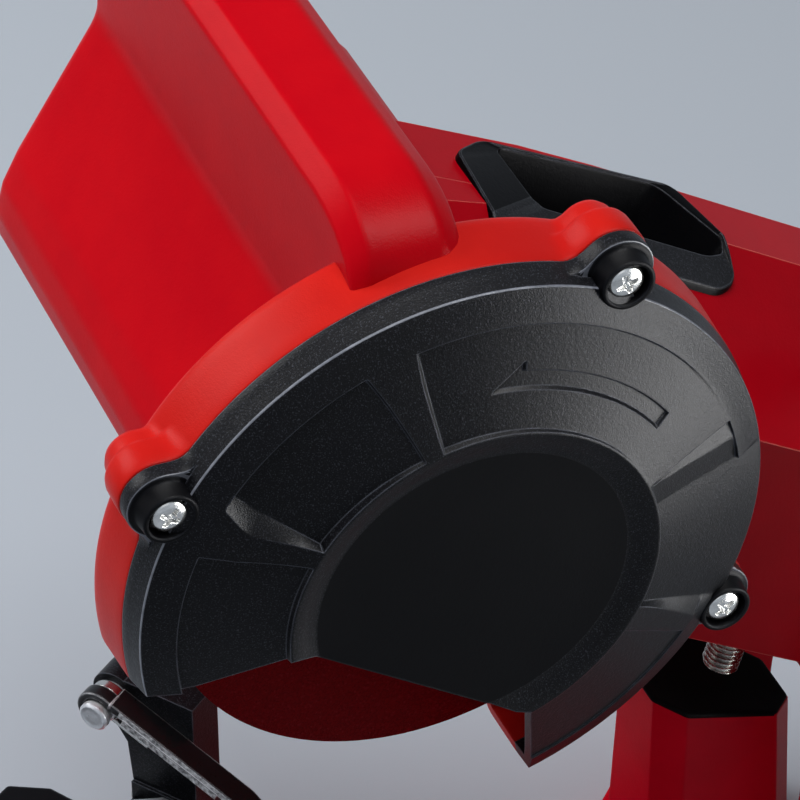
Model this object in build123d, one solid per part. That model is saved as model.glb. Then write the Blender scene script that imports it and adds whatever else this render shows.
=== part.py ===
from build123d import *
import os
from math import atan2, cos, degrees, hypot, pi, radians, sin, tan

# Electric chainsaw sharpener: a wheel head on a rear hinge over a swivelling chain vise.
# Frame: origin on the bench at the centre of the four bench bolts. X runs across, +X towards
# the wheel guard, +Y to the rear, +Z up. Sizes are in millimetres and degrees.

# Fits
clear = 0.3              # gap between pieces that move past each other
runGap = 0.05            # radial gap of a shaft in its bearing
seat = 0.2               # gap of a piece that drops into a pocket

# Head: its own frame has x across, u back along the arm and w up, with its origin on the
# spindle axis in the plane of the guard cover's rim
restTilt = 33.0          # the arm slopes down to the rear by this much when it is raised
lowerTravel = 15.5
faceX = 40.0
spindleY = -18.0
spindleZ = 190.0
pivotU = 135.7
pivotW = -14.4

# Grinding wheel and its flanges
wheelR = 54.0
wheelWide = 3.2
wheelBoreR = 11.5
wheelMid = -13.4
flangeR = 17.0
flangeThick = 2.2
spindleR = 4.0
nutAcross = 13.0
nutThick = 5.0

# Wheel guard
jointX = -6.0            # seam between the black cover and the red shell
shellBackX = -20.2
guardR = 64.3            # radius at the seam
guardBackR = 65.2
rimR = 63.1              # radius of the cover's rim, at x = 0
ringR = 57.4             # foot of the outer chamfer
ringX = 3.2
hubR = 37.2
hubX = 9.5
dishR = 31.8
dishX = 7.6
guardWall = 2.5
openHalf = 28.0          # half width of the wheel opening's straight top edge
openW = -23.0
openSpread = 47.8        # the opening's sides run out to this point
openDrop = -43.8
lugAngles = (93.1, 183.0, 363.2)
lugPcdR = 65.4
lugR = 7.2
lugBackR = 5.7            # the lug steps down to a smaller dome behind
lugStepX = -13.6
lugFaceX = 1.5
lugNeckX = -2.6
lugNeckR = 5.5
headPocketR = 4.4
headPocketDeep = 3.6
coverScrewR = 1.9
coverScrewHeadR = 3.3
coverScrewHeadTall = 2.4
coverScrewLong = 14.0

# Fan sectors of the cover: start angle, end angle at the step, depth at the step
bladeSectors = ((139.5, 176.5, 2.2), (102.0, 132.8, 1.3), (352.0, 368.0, 1.5), (186.0, 222.0, 1.4))
bladeInR = 38.4
bladeOutR = 57.0
arrowInR = 45.0
arrowOutR = 48.2
arrowFrom = 68.0
arrowTo = 111.0
arrowDeep = 0.7

# Motor housing, with the carrying grip along its top
barrelEndX = -144.0
barrelHalf = 34.3
barrelTop = 34.0
barrelBottom = -37.6
barrelRound = 24.0
barrelBackRound = 30.0
barrelEndRound = 5.0
creaseW = 21.9           # the barrel's flat front turns into the grip's leaning front here
gripFootU = -17.0
gripCorners = ((-30.6, 61.7), (-37.4, 63.3), (-50.3, 56.4), (-51.8, 51.3))
gripLean = 26.5
gripTopLine = 73.2       # the grip's top, measured square to its lean
gripNoseX = -9.6         # the grip's nose comes down on the guard shell
gripNoseLong = 21.4
gripNoseDrop = 13.0
motorBoreR = 31.0
motorBoreEndX = -138.5
ventCount = 7
ventWide = 3.0

# Motor
bearingR = 11.0
bearingWide = 7.0
frontBearingX = -28.0
rearBearingX = -138.0
rotorR = 16.0
rotorFromX = -98.0
rotorToX = -58.0
statorR = 30.7
statorBoreR = 17.0
coilReach = 8.0
commutatorR = 11.0
commutatorFromX = -124.0
commutatorToX = -112.0
fanR = 27.0
fanFromX = -43.0
fanToX = -34.0
fanBlades = 9
brushWide = 6.0
brushLong = 10.0

# Arm
armRightX = -20.2
armLeftX = -80.5
armSeamX = -61.0
armBottom = -18.0
armShoulder = 30.0
armTop = 50.0
armFrontTop = 45.3
armBendU = 45.0
armTopLeftX = -78.5
armLeftShoulder = 48.5
armFrontU = -12.0
armRearU = 152.0
armWall = 3.0
armRearRound = 12.0
armCavityU = 46.0
armScrewR = 3.2
armScrewTall = 1.6
armScrewPlaces = ((62.0, 20.0), (62.0, -8.0), (104.0, 30.0), (146.0, 22.0))

# Hinge
pivotR = 5.0
pivotLugR = 13.0
bushR = 7.0
bushLong = 13.0
cheekThick = 9.0
cheekR = 14.0
pivotNutThick = 5.0
pivotNutAcross = 15.0
springWire = 2.0
springMeanR = 7.6
springTurns = 4

# Switch well in the arm's top
wellPlan = ((-76.5, 15.0), (-70.0, 6.0), (-50.5, 6.0), (-50.5, 66.0), (-53.5, 70.0), (-59.0, 70.0), (-76.5, 61.0))
wellRim = 2.6
wellProud = 1.0
wellFrontW = 43.0        # the floor slopes down from here, clear of the motor
wellFallPerU = 0.235
wellFloorThick = 2.5
rockerX = -63.5
rockerU = 36.0
rockerLong = 21.0
rockerWide = 13.0
rockerTall = 5.0
rockerTilt = 9.0
rockerHubR = 3.6

# Depth stop screw
stopX = -36.0
stopU = 113.6            # its tip, in the head's frame
stopW = -32.7
stopTilt = 16.0
stopR = 4.0
stopInsertR = 6.2
stopInsertLong = 12.0
stopKnobR = 6.6
stopKnobTall = 9.0
stopGap = 0.6            # left under the tip with the head right down
stopKnobGap = 6.0        # between the arm's flank and the knob, more than the screw's downward travel

# Base
baseWide = 124.0
baseFrontY = -92.0
baseRearY = 98.0
deckTall = 12.0
waistX = -45.0           # the foot's left edge is waisted beside the column
waistY = 53.0
baseWall = 4.0
baseRound = 14.0
boltSpacingX = 94.0
boltSpacingY = 150.0
boltHoleR = 4.25
boltBossR = 8.5
columnX = -3.0
columnWide = 26.0
columnFrontY = 44.0
columnRearY = 76.0
columnDraft = 3.5
columnBackCut = 9.0
columnTopSlope = 20.0
columnChamfer = 5.5
padThick = 2.0
padInset = 1.4
padProud = 0.4

# Turntable and its pedestal, which is open to the front for the lock knob
viseX = 26.6
viseY = -38.6
viseTurn = 35.0
pedestalTop = 62.0
pedestalR = 35.0
pedestalMouth = 23.0
pedestalWall = 6.0
turntableR = 28.0
turntableThick = 8.0
swivelBoltR = 4.0
lockKnobR = 17.0
lockKnobTall = 16.0
lockKnobTopZ = 52.0
scaleThick = 1.2
scaleWide = 5.5

# Chain vise: s runs along the chain, t across it, from the turntable's centre
railTop = 95.0
railBottom = 74.0
railHalf = 52.0
railThick = 4.0
chainSlot = 1.4
footWide = 12.5
footHalf = 27.0
footNear = 8.0
footScrewS = 18.0
footScrewIn = 4.6
footScrewHeadR = 2.8
footThick = 5.0
guidePinR = 2.0
guidePinS = 36.0
guidePinZ = 84.0
clampStudR = 2.5
clampS = -14.0
clampZ = 91.0
camR = 6.4
camThrow = 1.6
camTall = 11.0
clampOpen = 1.0          # the front rail's travel over the lever's quarter turn
leverLong = 55.0
leverTurn = -3.0
leverWide = 7.0
leverThick = 3.0
gripLong = 18.0
gripHalf = 7.0
washerThick = 1.4

# Chain stop
stopPinS = -58.0
stopPinZ = 114.1
stopPinT = 1.8
stopPinR = 3.3
knuckleR = 5.0
knuckleWide = 3.2
pawlWide = 5.5
pawlThick = 2.0
pawlSlope = 23.0
pawlReach = 48.0
pawlHook = 13.0
pawlSpringWire = 0.9
bracketNearT = 9.0
bracketFarT = 18.0
bracketLeftS = -54.5
bracketRightS = -38.8
bracketTop = 119.0
bracketLugR = 5.3
bracketStepZ = 91.0
bracketFoot = 0.8
adjustR = 2.5
adjustZ = 82.0
adjustT = 14.5
adjustLugS = 30.0
adjustLugLong = 6.0
adjustEndS = 56.0
adjustKnobR = 8.0
adjustKnobLong = 12.0

# Places worked out from the sizes above
tilt = radians(restTilt)
pivotY = spindleY + pivotU * cos(tilt) + pivotW * sin(tilt)
pivotZ = spindleZ - pivotU * sin(tilt) + pivotW * cos(tilt)
headPlace = Pos(faceX, spindleY, spindleZ) * Rot(-restTilt, 0, 0)
visePlace = Pos(viseX, viseY, 0) * Rot(0, 0, viseTurn)
flankRise = (armTop - armShoulder) / (armRightX - armSeamX)
flankAtStop = armShoulder + flankRise * (armRightX - stopX + stopKnobR)
stopOut = (flankAtStop - stopW + stopKnobR * sin(radians(stopTilt))) / cos(radians(stopTilt))
stopLong = stopOut + stopKnobGap + stopKnobTall


def rodX(radius, low, high):
    """A round bar along X."""
    return Pos((low + high) / 2, 0, 0) * Rot(0, 90, 0) * Cylinder(radius, high - low)


def rodY(radius, low, high):
    """A round bar along Y."""
    return Pos(0, (low + high) / 2, 0) * Rot(90, 0, 0) * Cylinder(radius, high - low)


def rodZ(radius, low, high):
    """A round bar along Z."""
    return Pos(0, 0, (low + high) / 2) * Cylinder(radius, high - low)


def block(lowX, highX, lowY, highY, lowZ, highZ):
    """A box between two corners."""
    middle = Pos((lowX + highX) / 2, (lowY + highY) / 2, (lowZ + highZ) / 2)
    return middle * Box(highX - lowX, highY - lowY, highZ - lowZ)


def prismX(points, low, high):
    """A polygon of (y, z) points carried along X."""
    face = Plane.YZ * make_face(Polyline(*points, close=True))
    return Pos(low, 0, 0) * extrude(face, amount=high - low)


def prismY(points, low, high):
    """A polygon of (x, z) points carried along Y."""
    face = Plane.XZ * make_face(Polyline(*points, close=True))
    return Pos(0, high, 0) * extrude(face, amount=high - low)


def prismZ(points, low, high):
    """A polygon of (x, y) points carried along Z."""
    return Pos(0, 0, low) * extrude(make_face(Polyline(*points, close=True)), amount=high - low)


def turned(points, arc=360.0, start=0.0):
    """A profile of (x, radius) points turned about X, from the +Y side towards +Z."""
    face = make_face(Polyline(*points, close=True))
    return Rot(start, 0, 0) * revolve(face, Axis.X, revolution_arc=arc)


def polar(radius, angle):
    """A (u, w) point at an angle from the arm's rearward direction towards its top."""
    return radius * cos(radians(angle)), radius * sin(radians(angle))


def alongX(shape, radius, angle):
    """Places a shape that lies on the X axis at a polar point of the head's frame."""
    across, up = polar(radius, angle)
    return Pos(0, across, up) * shape


# Wheel guard

def wheelOpening(low, high, grow=0.0):
    """The mouth that bares the lower part of the wheel: a chord with two spreading sides."""
    reach = 2.0
    sideU = openSpread * reach
    sideW = openW + (openDrop - openW) * (sideU - openHalf) / (openSpread - openHalf)
    top = openW - grow
    return prismX(((-openHalf, top), (openHalf, top), (sideU, sideW), (-sideU, sideW)), low, high)


def guardShell():
    """The red rear half: a dished plate with a rim band, three lugs and the bearing seat."""
    band = turned(
        (
            (jointX, guardR),
            (shellBackX, guardBackR),
            (shellBackX, bearingR + 4.0),
            (frontBearingX - 2.0, bearingR + 4.0),
            (frontBearingX - 2.0, spindleR + 2.5),
            (frontBearingX, spindleR + 2.5),
            (frontBearingX, bearingR),
            (frontBearingX + bearingWide, bearingR),
            (frontBearingX + bearingWide, spindleR + 2.5),
            (shellBackX + guardWall + 0.4, spindleR + 2.5),
            (shellBackX + guardWall + 0.4, guardBackR - guardWall - 0.8),
            (jointX, guardR - guardWall - 0.4),
        )
    )
    shell = band - wheelOpening(shellBackX - 1, jointX + 1)
    for angle in lugAngles:
        back = rodX(lugBackR, shellBackX, lugStepX + 1)
        back = fillet(back.edges().group_by(Axis.X)[0], lugBackR / 2)
        front = rodX(lugR, lugStepX, jointX)
        front = chamfer(front.edges().group_by(Axis.X)[0], (lugR - lugBackR) / 2)
        shell += alongX(back + front, lugPcdR, angle)
    for angle in lugAngles:
        shell -= alongX(rodX(coverScrewR, jointX - coverScrewLong, jointX + 1), lugPcdR, angle)
    return shell


def bladePocket(start, end, deep):
    """The space over one fan sector: nothing at its start angle, deepest at its end."""
    slope = (hubX - ringX) / (ringR - hubR)
    outX = ringX + (ringR - bladeOutR) * slope
    inX = ringX + (ringR - bladeInR) * slope
    sections = []
    steps = 4
    for index in range(steps + 1):
        share = index / steps
        sink = 0.02 + (deep - 0.02) * share
        corners = ((outX - sink, bladeOutR), (inX - sink, bladeInR), (inX + 3, bladeInR), (outX + 3, bladeOutR))
        face = make_face(Polyline(*corners, close=True))
        sections.append(Rot(start + (end - start) * share, 0, 0) * face)
    return loft(sections)


def guardCover():
    """The black front half: stepped chamfers round a dished hub, with fan sectors and lugs."""
    thick = guardWall
    cover = turned(
        (
            (jointX, guardR),
            (0.0, rimR),
            (ringX, ringR),
            (hubX, hubR),
            (dishX, dishR),
            (dishX, 0.0),
            (dishX - thick, 0.0),
            (dishX - thick, dishR + 1.0),
            (hubX - thick, hubR - 0.4),
            (ringX - thick - 0.6, ringR - 1.0),
            (0.0 - 1.0, rimR - thick),
            (jointX, guardR - thick - 0.4),
        )
    )
    cover -= wheelOpening(jointX - 1, hubX + 1)
    for start, end, deep in bladeSectors:
        cover -= bladePocket(start, end, deep)
    arrowX = ringX + (ringR - arrowOutR) * (hubX - ringX) / (ringR - hubR)
    arrowInX = ringX + (ringR - arrowInR) * (hubX - ringX) / (ringR - hubR)
    arrow = turned(
        (
            (arrowX - arrowDeep, arrowOutR),
            (arrowInX - arrowDeep, arrowInR),
            (arrowInX + 2, arrowInR),
            (arrowX + 2, arrowOutR),
        ),
        arc=arrowTo - arrowFrom,
        start=arrowFrom,
    )
    cover -= arrow
    for angle in lugAngles:
        lug = rodX(lugR, jointX, lugNeckX)
        lug = chamfer(lug.edges().group_by(Axis.X)[-1], 0.8) + rodX(lugNeckR, lugNeckX - 1, lugFaceX)
        cover += alongX(lug, lugPcdR, angle)
    for angle in lugAngles:
        cover -= alongX(rodX(headPocketR, lugFaceX - headPocketDeep, lugFaceX + 1), lugPcdR, angle)
        cover -= alongX(rodX(coverScrewR, jointX - 1, lugFaceX), lugPcdR, angle)
    return cover


def coverScrews():
    """Three pan-head screws in the cover's lugs."""
    seatX = lugFaceX - headPocketDeep
    screw = rodX(coverScrewHeadR, seatX, seatX + coverScrewHeadTall)
    screw = fillet(screw.edges().group_by(Axis.X)[-1], 1.2)
    screw += rodX(coverScrewR, seatX - coverScrewLong, seatX)
    recess = Pos(seatX + coverScrewHeadTall, 0, 0) * (Box(2.4, 0.9, 4.0) + Box(2.4, 4.0, 0.9))
    screw -= recess
    return [alongX(screw, lugPcdR, angle) for angle in lugAngles]


# Grinding wheel and rotor

def grindingWheel():
    low = wheelMid - wheelWide / 2
    return rodX(wheelR, low, low + wheelWide) - rodX(wheelBoreR, low - 1, low + wheelWide + 1)


def innerFlange():
    """The flange behind the wheel, with the spigot that centres it."""
    low = wheelMid - wheelWide / 2
    flange = rodX(flangeR, low - flangeThick + 0.4, low)
    flange += rodX(wheelBoreR, low, low + wheelWide - 0.2)
    return flange - rodX(spindleR, low - flangeThick - 1, low + wheelWide + 1)


def outerFlange():
    low = wheelMid + wheelWide / 2
    profile = (
        (low, spindleR),
        (low, flangeR),
        (low + flangeThick / 2, flangeR),
        (low + flangeThick, flangeR - 5),
        (low + flangeThick, spindleR),
    )
    return turned(profile)


def spindleNut():
    low = wheelMid + wheelWide / 2 + flangeThick
    hexagon = RegularPolygon(nutAcross / 2, 6, major_radius=False)
    nut = Pos(low, 0, 0) * Rot(0, 90, 0) * extrude(hexagon, amount=nutThick)
    return nut - rodX(spindleR, low - 1, low + nutThick + 1)


def rotorShaft():
    tip = wheelMid + wheelWide / 2 + flangeThick + nutThick + 2.0
    shaft = rodX(spindleR, rearBearingX + 1.0, tip)
    return chamfer(shaft.edges().filter_by(GeomType.CIRCLE), 0.6)


def rotorCore():
    core = rodX(rotorR, rotorFromX, rotorToX) - rodX(spindleR, rotorFromX - 1, rotorToX + 1)
    slots = 12
    for index in range(slots):
        slot = block(rotorFromX - 1, rotorToX + 1, rotorR - 1.6, rotorR + 1, -0.7, 0.7)
        core -= Rot(index * 360 / slots, 0, 0) * slot
    return core


def rotorCoils():
    """The end windings, a ring at each end of the rotor's core."""
    bore = rodX(spindleR, rotorFromX - 20, rotorToX + 20)
    near = rodX(rotorR - 2.5, rotorToX, rotorToX + coilReach)
    far = rodX(rotorR - 2.5, rotorFromX - coilReach, rotorFromX)
    near = fillet(near.edges().group_by(Axis.X)[-1], 3.0)
    far = fillet(far.edges().group_by(Axis.X)[0], 3.0)
    return [near - bore, far - bore]


def commutator():
    drum = rodX(commutatorR, commutatorFromX, commutatorToX)
    return drum - rodX(spindleR, commutatorFromX - 1, commutatorToX + 1)


def coolingFan():
    """A hub, a back disc and straight blades."""
    fan = rodX(fanR, fanFromX, fanFromX + 1.6)
    fan += rodX(spindleR + 4, fanFromX, fanToX)
    for index in range(fanBlades):
        blade = block(fanFromX + 1.0, fanToX, spindleR + 3, fanR - 0.5, -0.7, 0.7)
        fan += Rot(index * 360 / fanBlades, 0, 0) * blade
    return fan - rodX(spindleR, fanFromX - 1, fanToX + 1)


def statorCore():
    """A laminated ring with two poles."""
    ring = rodX(statorR, rotorFromX, rotorToX) - rodX(statorR - 6, rotorFromX - 1, rotorToX + 1)
    poles = block(rotorFromX, rotorToX, -11, 11, -statorR + 3, statorR - 3)
    poles -= rodX(statorBoreR, rotorFromX - 1, rotorToX + 1)
    return ring + poles


def statorCoils():
    """One saddle winding beside each pole."""
    coils = []
    for side in (1, -1):
        coil = rodX(statorR - 6.3, rotorFromX - coilReach, rotorToX + coilReach)
        coil -= rodX(statorBoreR + 1, rotorFromX - 20, rotorToX + 20)
        reach = statorR + 1
        low, high = sorted((side * 11.3, side * reach))
        coil &= block(rotorFromX - 20, rotorToX + 20, low, high, -reach, reach)
        coils.append(coil)
    return coils


def bearing(low):
    """A sealed ball bearing, drawn as its outer size and running bore."""
    ring = rodX(bearingR, low, low + bearingWide) - rodX(spindleR + runGap, low - 1, low + bearingWide + 1)
    groove = rodX(bearingR - 2.0, low + bearingWide - 0.4, low + bearingWide + 1)
    return ring - (groove - rodX(spindleR + 2.2, low, low + bearingWide + 2))


def brushPair(low, high, thick):
    """Two blocks that face the commutator from either side."""
    mid = (commutatorFromX + commutatorToX) / 2
    pair = []
    for side in (1, -1):
        near, far = sorted((side * low, side * high))
        pair.append(block(mid - thick / 2, mid + thick / 2, near, far, -thick / 2, thick / 2))
    return pair


def carbonBrushes():
    return brushPair(commutatorR + 0.3, commutatorR + 0.3 + brushLong, brushWide)


def brushHolders():
    outer = brushPair(commutatorR + 2.0, motorBoreR - 0.8, brushWide + 3.0)
    inner = brushPair(commutatorR, commutatorR + 0.3 + brushLong, brushWide)
    return [shell - core for shell, core in zip(outer, inner)]


# Housing

def barrelOutline():
    """The motor housing's section: a rounded box with a grip that leans forward over it."""
    foot = ((gripFootU, barrelTop), (barrelHalf, barrelTop), (barrelHalf, barrelBottom), (-barrelHalf, barrelBottom))
    crease = (-barrelHalf, creaseW)
    body = make_face(Polyline(*gripCorners, crease, *reversed(foot), close=True))
    bottom = body.vertices().group_by(Axis.Y)[0].sort_by(Axis.X)
    body = fillet(bottom[0], barrelRound)
    rear = body.vertices().group_by(Axis.X)[-1]
    return fillet(rear, barrelBackRound)


def barrelPrism(low, high):
    return Pos(low, 0, 0) * extrude(Plane.YZ * barrelOutline(), amount=high - low)


def aboveNose():
    """The space over the grip's nose, where its top curves down to the guard shell."""
    startX = gripNoseX - gripNoseLong
    centreZ = gripTopLine - gripNoseDrop
    bend = [(gripNoseLong * cos(radians(a)), gripNoseDrop * sin(radians(a))) for a in (0, 22.5, 45, 67.5, 90)]
    curve = Spline([(startX + x, centreZ + z) for x, z in bend], tangents=((0, 1), (-1, 0)))
    rest = Polyline(
        (startX, gripTopLine),
        (startX, gripTopLine + 9),
        (gripNoseX + 9, gripTopLine + 9),
        (gripNoseX + 9, centreZ),
        (gripNoseX, centreZ),
    )
    face = Plane.XZ * make_face([curve, rest])
    return Rot(gripLean, 0, 0) * extrude(face, amount=4 * barrelHalf, both=True)


def motorHousing():
    """The barrel with the grip on top, bored for the motor and slotted for cooling air."""
    housing = barrelPrism(barrelEndX, shellBackX)
    rear = housing.edges().group_by(Axis.X)[0]
    housing = fillet(rear, barrelEndRound)
    nose = barrelPrism(shellBackX, gripNoseX) & block(-200, 0, -90, gripFootU, creaseW, gripTopLine)
    housing += nose - rodX(guardBackR, shellBackX - 1, gripNoseX + 1)
    housing -= aboveNose()
    housing -= rodX(motorBoreR, motorBoreEndX + 9, shellBackX + 1)
    housing -= rodX(bearingR, rearBearingX, motorBoreEndX + 10)
    for index in range(ventCount):
        up = (index - (ventCount - 1) / 2) * ventWide * 2.2
        high = motorBoreR - 6 - abs(up) * 0.25
        slot = block(barrelEndX - 1, motorBoreEndX + 10, bearingR + 3, high, up - ventWide / 2, up + ventWide / 2)
        housing -= slot
        housing -= Rot(180, 0, 0) * slot
    return housing


def armSection(grow=0.0):
    """The arm's (x, w) section: flat top to the left, a sloping flank to the right."""
    return (
        (armRightX + grow, armBottom - grow),
        (armRightX + grow, armShoulder + grow * 0.5),
        (armSeamX, armTop + grow),
        (armTopLeftX, armTop + grow),
        (armLeftX - grow, armLeftShoulder + grow * 0.5),
        (armLeftX - grow, armBottom - grow),
    )


def stopPlace():
    """The depth screw's frame in the head: origin at its tip, +Z up its axis."""
    return Pos(stopX, stopU, stopW) * Rot(stopTilt, 0, 0)


def wellPrism(grow, low, high):
    """The switch well's plan outline carried up through the arm."""
    face = make_face(Polyline(*wellPlan, close=True))
    face = fillet(face.vertices(), 2.0)
    if grow:
        face = offset(face, amount=grow, kind=Kind.ARC)
    return Pos(0, 0, low) * extrude(face, amount=high - low)


def overArm(grow):
    """The space over the arm's front, where its top falls away towards the motor."""
    high = armTop + 30
    points = (
        (armFrontU - 9, armFrontTop + grow - 9 * (armTop - armFrontTop) / (armBendU - armFrontU)),
        (armBendU, armTop + grow),
        (armBendU, high),
        (armFrontU - 9, high),
    )
    return prismX(points, armLeftX - 9, armRightX + 9)


def armBody():
    """Both arm halves as one hollow form, before the seam parts them."""
    arm = prismY(armSection(), armFrontU, armRearU)
    rearTop = arm.edges().filter_by(Axis.X).group_by(Axis.Y)[-1]
    arm = fillet(rearTop, armRearRound)
    arm -= overArm(0)
    arm -= barrelPrism(armLeftX - 60, armRightX + 60)
    arm -= prismX(
        ((armFrontU - 1, barrelBottom), (barrelHalf, barrelBottom), (barrelHalf, barrelTop), (armFrontU - 1, barrelTop)),
        armLeftX - 1,
        armRightX + 1,
    )
    lug = Pos(0, pivotU, pivotW) * rodX(pivotLugR, armLeftX, armRightX)
    arm += lug
    cavity = prismY(armSection(-armWall), armCavityU, armRearU - armWall - 1)
    bosses = Pos(0, pivotU, pivotW) * (
        rodX(pivotLugR - 2, armRightX - bushLong - 1, armRightX)
        + rodX(pivotLugR - 2, armLeftX, armLeftX + bushLong + 1)
    )
    bosses += stopPlace() * rodZ(stopInsertR + 2.5, 0, stopLong)
    well = wellVolume(wellRim, wellFloorThick + 2)
    arm -= cavity - bosses - well
    arm -= Pos(0, pivotU, pivotW) * rodX(bushR, armLeftX - 1, armRightX + 1)
    lowCavity = Pos(0, pivotU, pivotW) * rodX(pivotLugR - 3, armLeftX + bushLong + 1, armRightX - bushLong - 1)
    arm -= lowCavity
    arm -= stopPlace() * rodZ(stopR + 0.4, -20, stopLong + 20)
    arm -= stopPlace() * rodZ(stopInsertR, 12.0, 16.4 + stopInsertLong)
    arm -= wellVolume(0, wellFloorThick)
    arm -= rockerPlace() * Box(rockerWide, rockerLong, 2 * (wellFloorThick + rockerTall))
    arm -= Pos(glandX, 0, glandW) * rodY(glandR, armRearU - armWall - 2, armRearU + 1)
    return arm


glandX = -72.0
glandW = 12.0
glandR = 6.5


def armShell(right):
    """One half of the arm, to the right or left of the seam along its crease."""
    arm = armBody()
    far = 300.0
    keep = block(armSeamX, far, -far, far, -far, far) if right else block(-far, armSeamX, -far, far, -far, far)
    return arm & keep


def cordGland():
    """The cord's inlet: a flanged bush in the arm's rear wall."""
    bush = rodY(glandR, armRearU - armWall - 1.5, armRearU)
    bush += rodY(glandR + 2, armRearU, armRearU + 2.0)
    bush -= rodY(glandR - 2.8, armRearU - 20, armRearU + 20)
    return Pos(glandX, 0, glandW) * bush


def housingScrews():
    """Four screws that hold the arm's halves together, heads in the left wall."""
    screws = []
    for along, up in armScrewPlaces:
        screw = rodX(armScrewR, armLeftX - armScrewTall, armLeftX)
        screw = fillet(screw.edges().group_by(Axis.X)[0], armScrewTall * 0.6)
        screws.append(Pos(0, along, up) * screw)
    return screws


# Hinge, in the head's frame

def pivotBushes():
    bore = rodX(pivotR + runGap, armLeftX - 1, armRightX + 1)
    right = rodX(bushR, armRightX - bushLong, armRightX) - bore
    left = rodX(bushR, armLeftX, armLeftX + bushLong) - bore
    return [Pos(0, pivotU, pivotW) * right, Pos(0, pivotU, pivotW) * left]


def returnSpring():
    """The torsion spring round the hinge shaft that lifts the head."""
    room = (armRightX - bushLong) - (armLeftX + bushLong) - 4.0
    pitch = room * 0.6 / springTurns
    path = Helix(pitch, pitch * springTurns, springMeanR)
    section = Plane(path @ 0, z_dir=path % 0) * Circle(springWire / 2)
    coil = sweep(section, path=path, is_frenet=True)
    start = armLeftX + bushLong + 1 + springWire / 2 + clear
    return Pos(start, pivotU, pivotW) * Rot(0, 90, 0) * coil


# Switch

def wellFloorAt(u):
    return wellFrontW - wellFallPerU * u


def wellVolume(grow, deep):
    """The well's plan outline from a depth under its sloping floor up through the arm's top."""
    low = -40.0
    points = (
        (-20, wellFloorAt(-20) - deep),
        (120, wellFloorAt(120) - deep),
        (120, armTop + 25),
        (-20, armTop + 25),
    )
    return wellPrism(grow, low, armTop + 20) & prismX(points, -110, 0)


def switchHousing():
    """The black well insert: a rim that stands just proud of the arm, and a sloping floor."""
    outer = wellVolume(-seat, wellFloorThick)
    form = prismY(armSection(wellProud), armFrontU - 20, armRearU) - overArm(wellProud)
    insert = outer & form
    insert -= wellVolume(-wellRim, 0)
    hole = Box(rockerWide, rockerLong, 30)
    return insert - rockerPlace() * hole


def rockerPlace():
    return Pos(rockerX, rockerU, wellFloorAt(rockerU)) * Rot(-degrees(atan2(wellFallPerU, 1)), 0, 0)


def rockerSwitch():
    """A rocker with two raised ends, tilted to its off side."""
    half = rockerLong / 2 - 0.8
    side = (
        (-half, -1.5),
        (-half, rockerTall),
        (0.0, rockerTall - 2.2),
        (half, rockerTall),
        (half, -1.5),
    )
    rocker = prismX(side, -rockerWide / 2 + 0.5, rockerWide / 2 - 0.5)
    hub = rodX(rockerHubR, -rockerWide / 2 + 0.5, rockerWide / 2 - 0.5)
    rocker += hub & block(-rockerWide, rockerWide, -rockerLong, rockerLong, -2 * rockerHubR, 0)
    return rockerPlace() * Rot(-rockerTilt, 0, 0) * rocker


# Depth stop

def stopInsert():
    """The threaded insert in the arm's underside."""
    low = 16.4
    insert = rodZ(stopInsertR, low, low + stopInsertLong) - rodZ(stopR + runGap, low - 1, low + stopInsertLong + 1)
    return stopPlace() * insert


def depthScrew():
    screw = rodZ(stopR, 0, stopLong - 1.5)
    screw = chamfer(screw.edges().group_by(Axis.Z)[0], 0.8)
    return stopPlace() * screw


def depthKnob():
    """A knurled knob on the screw's upper end."""
    low = stopLong - stopKnobTall
    knob = rodZ(stopKnobR, low, low + stopKnobTall)
    knob = fillet(knob.edges().group_by(Axis.Z)[-1], 1.2)
    for index in range(12):
        knob -= Rot(0, 0, index * 30) * Pos(stopKnobR + 0.5, 0, 0) * rodZ(1.1, low - 1, low + stopKnobTall + 1)
    knob -= rodZ(stopR, low - 1, stopLong - 1.5)
    return stopPlace() * knob


# Base

def stopContact():
    """Where the depth screw's tip stands, in base coordinates, with the head right down."""
    alongY = spindleY + stopU * cos(tilt) + stopW * sin(tilt) - pivotY
    alongZ = spindleZ - stopU * sin(tilt) + stopW * cos(tilt) - pivotZ
    turn = radians(lowerTravel)
    return (
        pivotY + alongY * cos(turn) - alongZ * sin(turn),
        pivotZ + alongY * sin(turn) + alongZ * cos(turn),
    )


def padTopAt(y):
    """Height of the stop pad's sloping face at a given y."""
    touchY, touchZ = stopContact()
    drop = stopGap + stopR * tan(radians(columnTopSlope))
    return touchZ - drop - (y - touchY) * tan(radians(columnTopSlope))


def columnSection(z, grow=0.0):
    """The stop column's outline at a height: a rectangle with cut corners that widens downwards."""
    spread = (padTopAt(columnFrontY) - z) * tan(radians(columnDraft)) * 0.6 + grow
    half = columnWide / 2 + spread
    front = columnFrontY - spread * 0.4
    rear = columnRearY + spread
    cut = columnChamfer
    back = columnBackCut
    points = (
        (columnX - half + cut, front),
        (columnX + half - cut, front),
        (columnX + half, front + cut),
        (columnX + half, rear - cut),
        (columnX + half - cut, rear),
        (columnX - half + back, rear),
        (columnX - half, rear - back),
        (columnX - half, front + cut),
    )
    return Pos(0, 0, z) * make_face(Polyline(*points, close=True))


def aboveTop(shift):
    """Everything over the column's sloping top, shifted down by a thickness."""
    lowY = columnFrontY - 30
    highY = columnRearY + 30
    points = (
        (lowY, padTopAt(lowY) - shift),
        (highY, padTopAt(highY) - shift),
        (highY, 400),
        (lowY, 400),
    )
    return prismX(points, columnX - 60, columnX + 60)


def padBlank(grow):
    top = padTopAt(columnFrontY) + 10
    low = padTopAt(columnRearY) - 20
    return loft([columnSection(low, grow - padInset), columnSection(top, grow - padInset)], ruled=True)


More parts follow.
